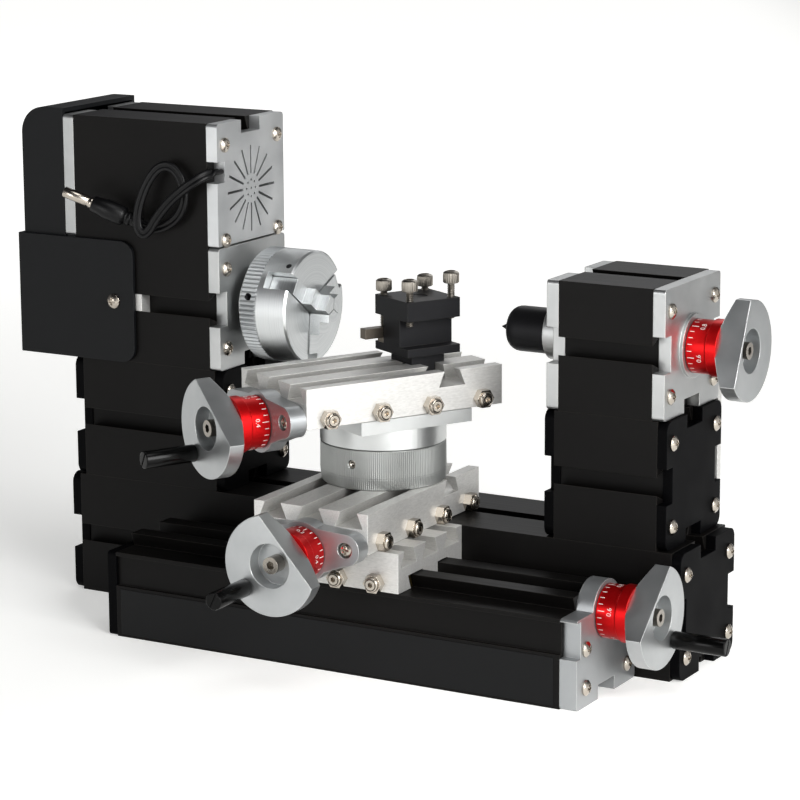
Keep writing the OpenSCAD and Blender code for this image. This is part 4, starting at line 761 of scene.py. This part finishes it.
def makeGrip(node, body, place, direction):
    length, pin = grips["length"], grips["pinWidth"] / 2
    direction = Vector(direction).normalized()
    place = Vector(place)
    piece = ringsAlong(node + "Turned", place * mm, direction, grips["profile"], grips["sides"])
    bore = ringsAlong("pinCut", (place - direction * overrun) * mm, direction,
                      [(0, pin), (length - grips["pinEnd"] + overrun, pin)], grips["pinSides"])
    side = direction.orthogonal().normalized()
    side = Matrix.Rotation(grips["slotTurn"], 3, direction) @ side
    across = direction.cross(side) * grips["slotWidth"] / 2
    reach = side * (grips["width"] / 2 + overrun)
    corners = []
    for along in (length - grips["slotDepth"], length + overrun):
        for u, v in ((-1, -1), (-1, 1), (1, 1), (1, -1)):
            corners.append((place + direction * along + reach * u + across * v) * mm)
    slot = makeObject("slotCut", corners, boxFaces, False)
    cutOut(piece, [bore, slot])
    piece.data.set_sharp_from_angle(angle=math.radians(grips["sharpAngle"]))
    addPiece(piece, body, "grip_black", "grip", node)


for node, body, place, direction in grips["places"]:
    makeGrip(node, body, place, direction)

print("Clamp screws")
clampScrews = {
    # the underside of each head, in mm
    "places": [(6.45, -16.25, 138.04), (23.15, -25.32, 140.44), (15.52, 0.44, 138.04),
               (32.22, -8.62, 142.04)],
    "teeth": 26, "samples": 6, "depth": 0.2, "sharpAngle": 38, "weld": 0.0005,  # mm and degrees
    "shankLength": 14, "shankRadius": 1.5, "point": 0.4,
    "threads": 19, "threadPitch": 0.7, "threadDepth": 0.22,
    # up from the head's foot, radius, share of the knurl's depth, share of the socket's six sides
    "head": [(0, 2.825, 0, 0), (0.35, 3.175, 1, 0), (3.3, 3.175, 1, 0), (3.985, 3.075, 0, 0),
             (4.44, 2.525, 0, 0), (4.7, 1.615, 0, 0), (4.7, 1.85, 0, 0), (4.5, 1.6, 0, 1),
             (2.3, 1.6, 0, 1), (1.9, 0, 0, 0)],
}


def makeClampScrews():
    screw = clampScrews
    foot, shank, point = -screw["shankLength"], screw["shankRadius"], screw["point"]
    pitch, samples = screw["threadPitch"], screw["samples"]
    sides = screw["teeth"] * samples
    profile = [(foot, 0, 0, 0), (foot, shank - point, 0, 0)]
    for k in range(screw["threads"]):
        crest = foot + point + k * pitch
        profile += [(crest, shank, 0, 0), (crest + pitch / 2, shank - screw["threadDepth"], 0, 0)]
    profile += [(0, shank, 0, 0)] + screw["head"]
    vertices, faces = [], []
    for place in screw["places"]:
        first = len(vertices)
        for along, reach, knurled, hexShare in profile:
            for k in range(sides):
                angle = 2 * math.pi * k / sides
                share = (k % samples) / samples
                dip = knurled * screw["depth"] * (0.5 - 0.5 * math.cos(2 * math.pi * share))
                corner = (angle + math.pi / 6) % (math.pi / 3) - math.pi / 6
                flat = math.cos(math.pi / 6) / math.cos(corner)
                size = (reach - dip) * (1 - hexShare + hexShare * flat)
                offset = Vector((size * math.cos(angle), size * math.sin(angle), along))
                vertices.append((Vector(place) + offset) * mm)
        for i in range(len(profile) - 1):
            for k in range(sides):
                a, b = first + i * sides + k, first + i * sides + (k + 1) % sides
                faces.append((a, b, b + sides, a + sides))
    piece = makeObject("clampScrewsKnurl", vertices, faces)
    mesh = bmesh.new()
    mesh.from_mesh(piece.data)
    bmesh.ops.remove_doubles(mesh, verts=mesh.verts, dist=screw["weld"] * mm)
    mesh.to_mesh(piece.data)
    mesh.free()
    piece.data.set_sharp_from_angle(angle=math.radians(screw["sharpAngle"]))
    addPiece(piece, "top_slide", "steel_screw", "knurledNickel", "clamp_screws")


makeClampScrews()

print("Lock nut collars")
nutCollars = {
    "sides": 40,
    # out from the nut's face and radius, in mm: round the collar and back into the screw's groove
    "profile": [(-0.02, 2.06), (-0.02, 2.95), (0.4025, 2.95), (0.8625, 2.77), (1.1155, 2.45),
                (1.15, 2.3), (1.035, 2.36), (0.46, 2.18)],
    # body, way out of the slide, middle of each nut's face in mm
    "rows": [("saddle", (0, -1, 0), [(x, -78.2, 38.0) for x in (-12.6, 3.6, 19.8, 36.0)]),
             ("cross_slide", (1, 0, 0), [(39.9, y, 53.7) for y in (-72.5, -49.5, -26.5, -3.5)]),
             ("top_slide", (0.8788, -0.4772, 0),
              [(17.64, -74.67, 98.6), (28.61, -54.45, 98.6), (39.59, -34.24, 98.6),
               (50.56, -14.03, 98.6)])],
}


# the rounded locking collar of each nut, with a groove round the screw's end
def makeCollars(body, direction, places):
    joined = bmesh.new()
    sides = nutCollars["sides"]
    direction = Vector(direction).normalized()
    side = direction.orthogonal().normalized()
    up = direction.cross(side)
    angles = [2 * math.pi * k / sides for k in range(sides)]
    for place in places:
        rings = [[joined.verts.new((Vector(place) + direction * along
                                    + (side * math.cos(angle) + up * math.sin(angle)) * radius) * mm)
                  for angle in angles] for along, radius in nutCollars["profile"]]
        for i, ring in enumerate(rings):
            nextRing = rings[(i + 1) % len(rings)]
            for k in range(sides):
                after = (k + 1) % sides
                joined.faces.new((ring[k], ring[after], nextRing[after], nextRing[k]))
    bmesh.ops.recalc_face_normals(joined, faces=joined.faces)
    mesh = bpy.data.meshes.new(body + "NutCollars")
    joined.to_mesh(mesh)
    joined.free()
    for polygon in mesh.polygons:
        polygon.use_smooth = True
    piece = bpy.data.objects.new(body + "NutCollars", mesh)
    bpy.context.scene.collection.objects.link(piece)
    addPiece(piece, body, "steel_screw", "nickel")


for body, direction, places in nutCollars["rows"]:
    makeCollars(body, direction, places)

print("Label place")
label = {
    "left": -81, "right": 111, "foot": 1.2, "head": 19.6,  # mm
    "bedFront": -75.0, "thickness": 0.12, "sunk": 0.05,
}


def makeLabel():
    x0, x1 = label["left"], label["right"]
    z0, z1 = label["foot"], label["head"]
    y0, y1 = label["bedFront"] - label["thickness"], label["bedFront"] + label["sunk"]
    corners = [(x, y, z) for y in (y0, y1) for x, z in ((x0, z0), (x1, z0), (x1, z1), (x0, z1))]
    piece = makeObject("blankLabel", [Vector(c) * mm for c in corners], boxFaces, False)
    addPiece(piece, "frame", "black_profile", "labelFilm")


makeLabel()

print("Floor and lights")
studio = {
    "floor": "#f4f4f2", "floorPaintedShade": "#8d8d8e", "floorHalf": 15, "floorRoughness": 0.6,  # m
    "floorGlow": 0.42, "floorGlowFar": 0.95, "floorGlowSide": 0.06,
    "glowNear": 0.35, "glowFar": 1.5,     # m from the middle
    "sideNear": 0.42, "sideFar": 0.95,    # m to the right of the line of sight
    "frontNear": -0.6, "frontFar": -0.1,  # m along the line of sight
    "roomFront": "#a4a4a6", "roomBack": "#6a6b6e", "roomRight": "#ffffff", "ceiling": "#2c2c2e",
    "worldStrength": 0.75,
    # where the room changes, as parts of a direction of length 1
    "backFrom": -0.7, "backTo": 0.4, "rightFrom": 0.3, "rightTo": 0.56,
    "ceilingFrom": 0.3, "ceilingTo": 0.75,
    # name, place in m, size in m, power in W
    "lamps": [("keyLamp", (1.5, -0.7, 0.75), 1.0, 36), ("frontLamp", (-0.5, -1.8, 0.35), 0.7, 6),
              ("topLamp", (0.5, -0.5, 1.9), 1.0, 8), ("backLamp", (-0.4, 1.5, 1.2), 1.2, 7)],
    "lampAim": (0, 0, 0.08),  # m
}


# a pale floor that glows with painted light, the more so far from the middle; behind the object on the
# right it turns grey and dim, a painted shade, so that the metal facing right reflects less light
def floorMaterial():
    look = studio
    material, tree, shader = startMaterial("paleGlowingFloor")
    place = addNode(tree, "TexCoord").outputs["Object"]
    turn = math.radians(cameraSetup["azimuth"])
    distance = addNode(tree, "VectorMath", {"operation": "LENGTH"}, {0: place}).outputs["Value"]
    across = addNode(tree, "VectorMath", {"operation": "DOT_PRODUCT"},
                     {0: place, 1: (math.cos(turn), math.sin(turn), 0)}).outputs["Value"]
    along = addNode(tree, "VectorMath", {"operation": "DOT_PRODUCT"},
                    {0: place, 1: (-math.sin(turn), math.cos(turn), 0)}).outputs["Value"]
    far, right, behind = [
        addNode(tree, "MapRange", {"interpolation_type": "SMOOTHSTEP"},
                {"Value": value, "From Min": look[start], "From Max": look[end]}).outputs[0]
        for value, start, end in ((distance, "glowNear", "glowFar"), (across, "sideNear", "sideFar"),
                                  (along, "frontNear", "frontFar"))]
    side = addNode(tree, "Math", {"operation": "MULTIPLY"}, {0: right, 1: behind}).outputs[0]
    glow = addNode(tree, "MapRange", None,
                   {"Value": far, "To Min": look["floorGlow"], "To Max": look["floorGlowFar"]}).outputs[0]
    dimmed = addNode(tree, "MapRange", None,
                     {"Value": side, "To Min": glow, "To Max": look["floorGlowSide"]}).outputs[0]
    shade = addNode(tree, "Mix", {"data_type": "RGBA"},
                    {0: side, 6: toLinear(look["floor"]), 7: toLinear(look["floorPaintedShade"])}).outputs[2]
    tree.links.new(shade, shader.inputs["Base Color"])
    tree.links.new(dimmed, shader.inputs["Emission Strength"])
    shader.inputs["Emission Color"].default_value = toLinear(look["floor"])
    shader.inputs["Roughness"].default_value = look["floorRoughness"]
    return material


# a room for the metal to reflect: dark above, grey behind, and a white wall on the right
def makeWorld():
    world = bpy.data.worlds.new("studioWorld")
    world.use_nodes = True
    tree = world.node_tree
    place = addNode(tree, "TexCoord")
    split = addNode(tree, "SeparateXYZ", None, {0: place.outputs["Generated"]})
    colour = toLinear(studio["roomFront"])
    for axis, start, end, wall in (("Y", "backFrom", "backTo", "roomBack"),
                                   ("X", "rightFrom", "rightTo", "roomRight"),
                                   ("Z", "ceilingFrom", "ceilingTo", "ceiling")):
        share = addNode(tree, "MapRange", {"interpolation_type": "SMOOTHSTEP"},
                        {"Value": split.outputs[axis], "From Min": studio[start],
                         "From Max": studio[end]})
        colour = addNode(tree, "Mix", {"data_type": "RGBA"},
                         {0: share.outputs[0], 6: colour, 7: toLinear(studio[wall])}).outputs[2]
    background = tree.nodes["Background"]
    tree.links.new(colour, background.inputs["Color"])
    background.inputs["Strength"].default_value = studio["worldStrength"]
    bpy.context.scene.world = world


def makeStudio():
    half = studio["floorHalf"]
    corners = [(-half, -half, 0), (half, -half, 0), (half, half, 0), (-half, half, 0)]
    floor = makeObject("studioFloor", corners, [(0, 1, 2, 3)], False)
    floor.data.materials.append(floorMaterial())
    makeWorld()
    for name, place, size, power in studio["lamps"]:
        data = bpy.data.lights.new(name, "AREA")
        data.size = size
        data.energy = power
        lamp = bpy.data.objects.new(name, data)
        lamp.location = place
        aim = Vector(place) - Vector(studio["lampAim"])
        lamp.rotation_euler = aim.to_track_quat("Z", "Y").to_euler()
        bpy.context.scene.collection.objects.link(lamp)


makeStudio()
bpy.context.scene.view_settings.view_transform = "Standard"
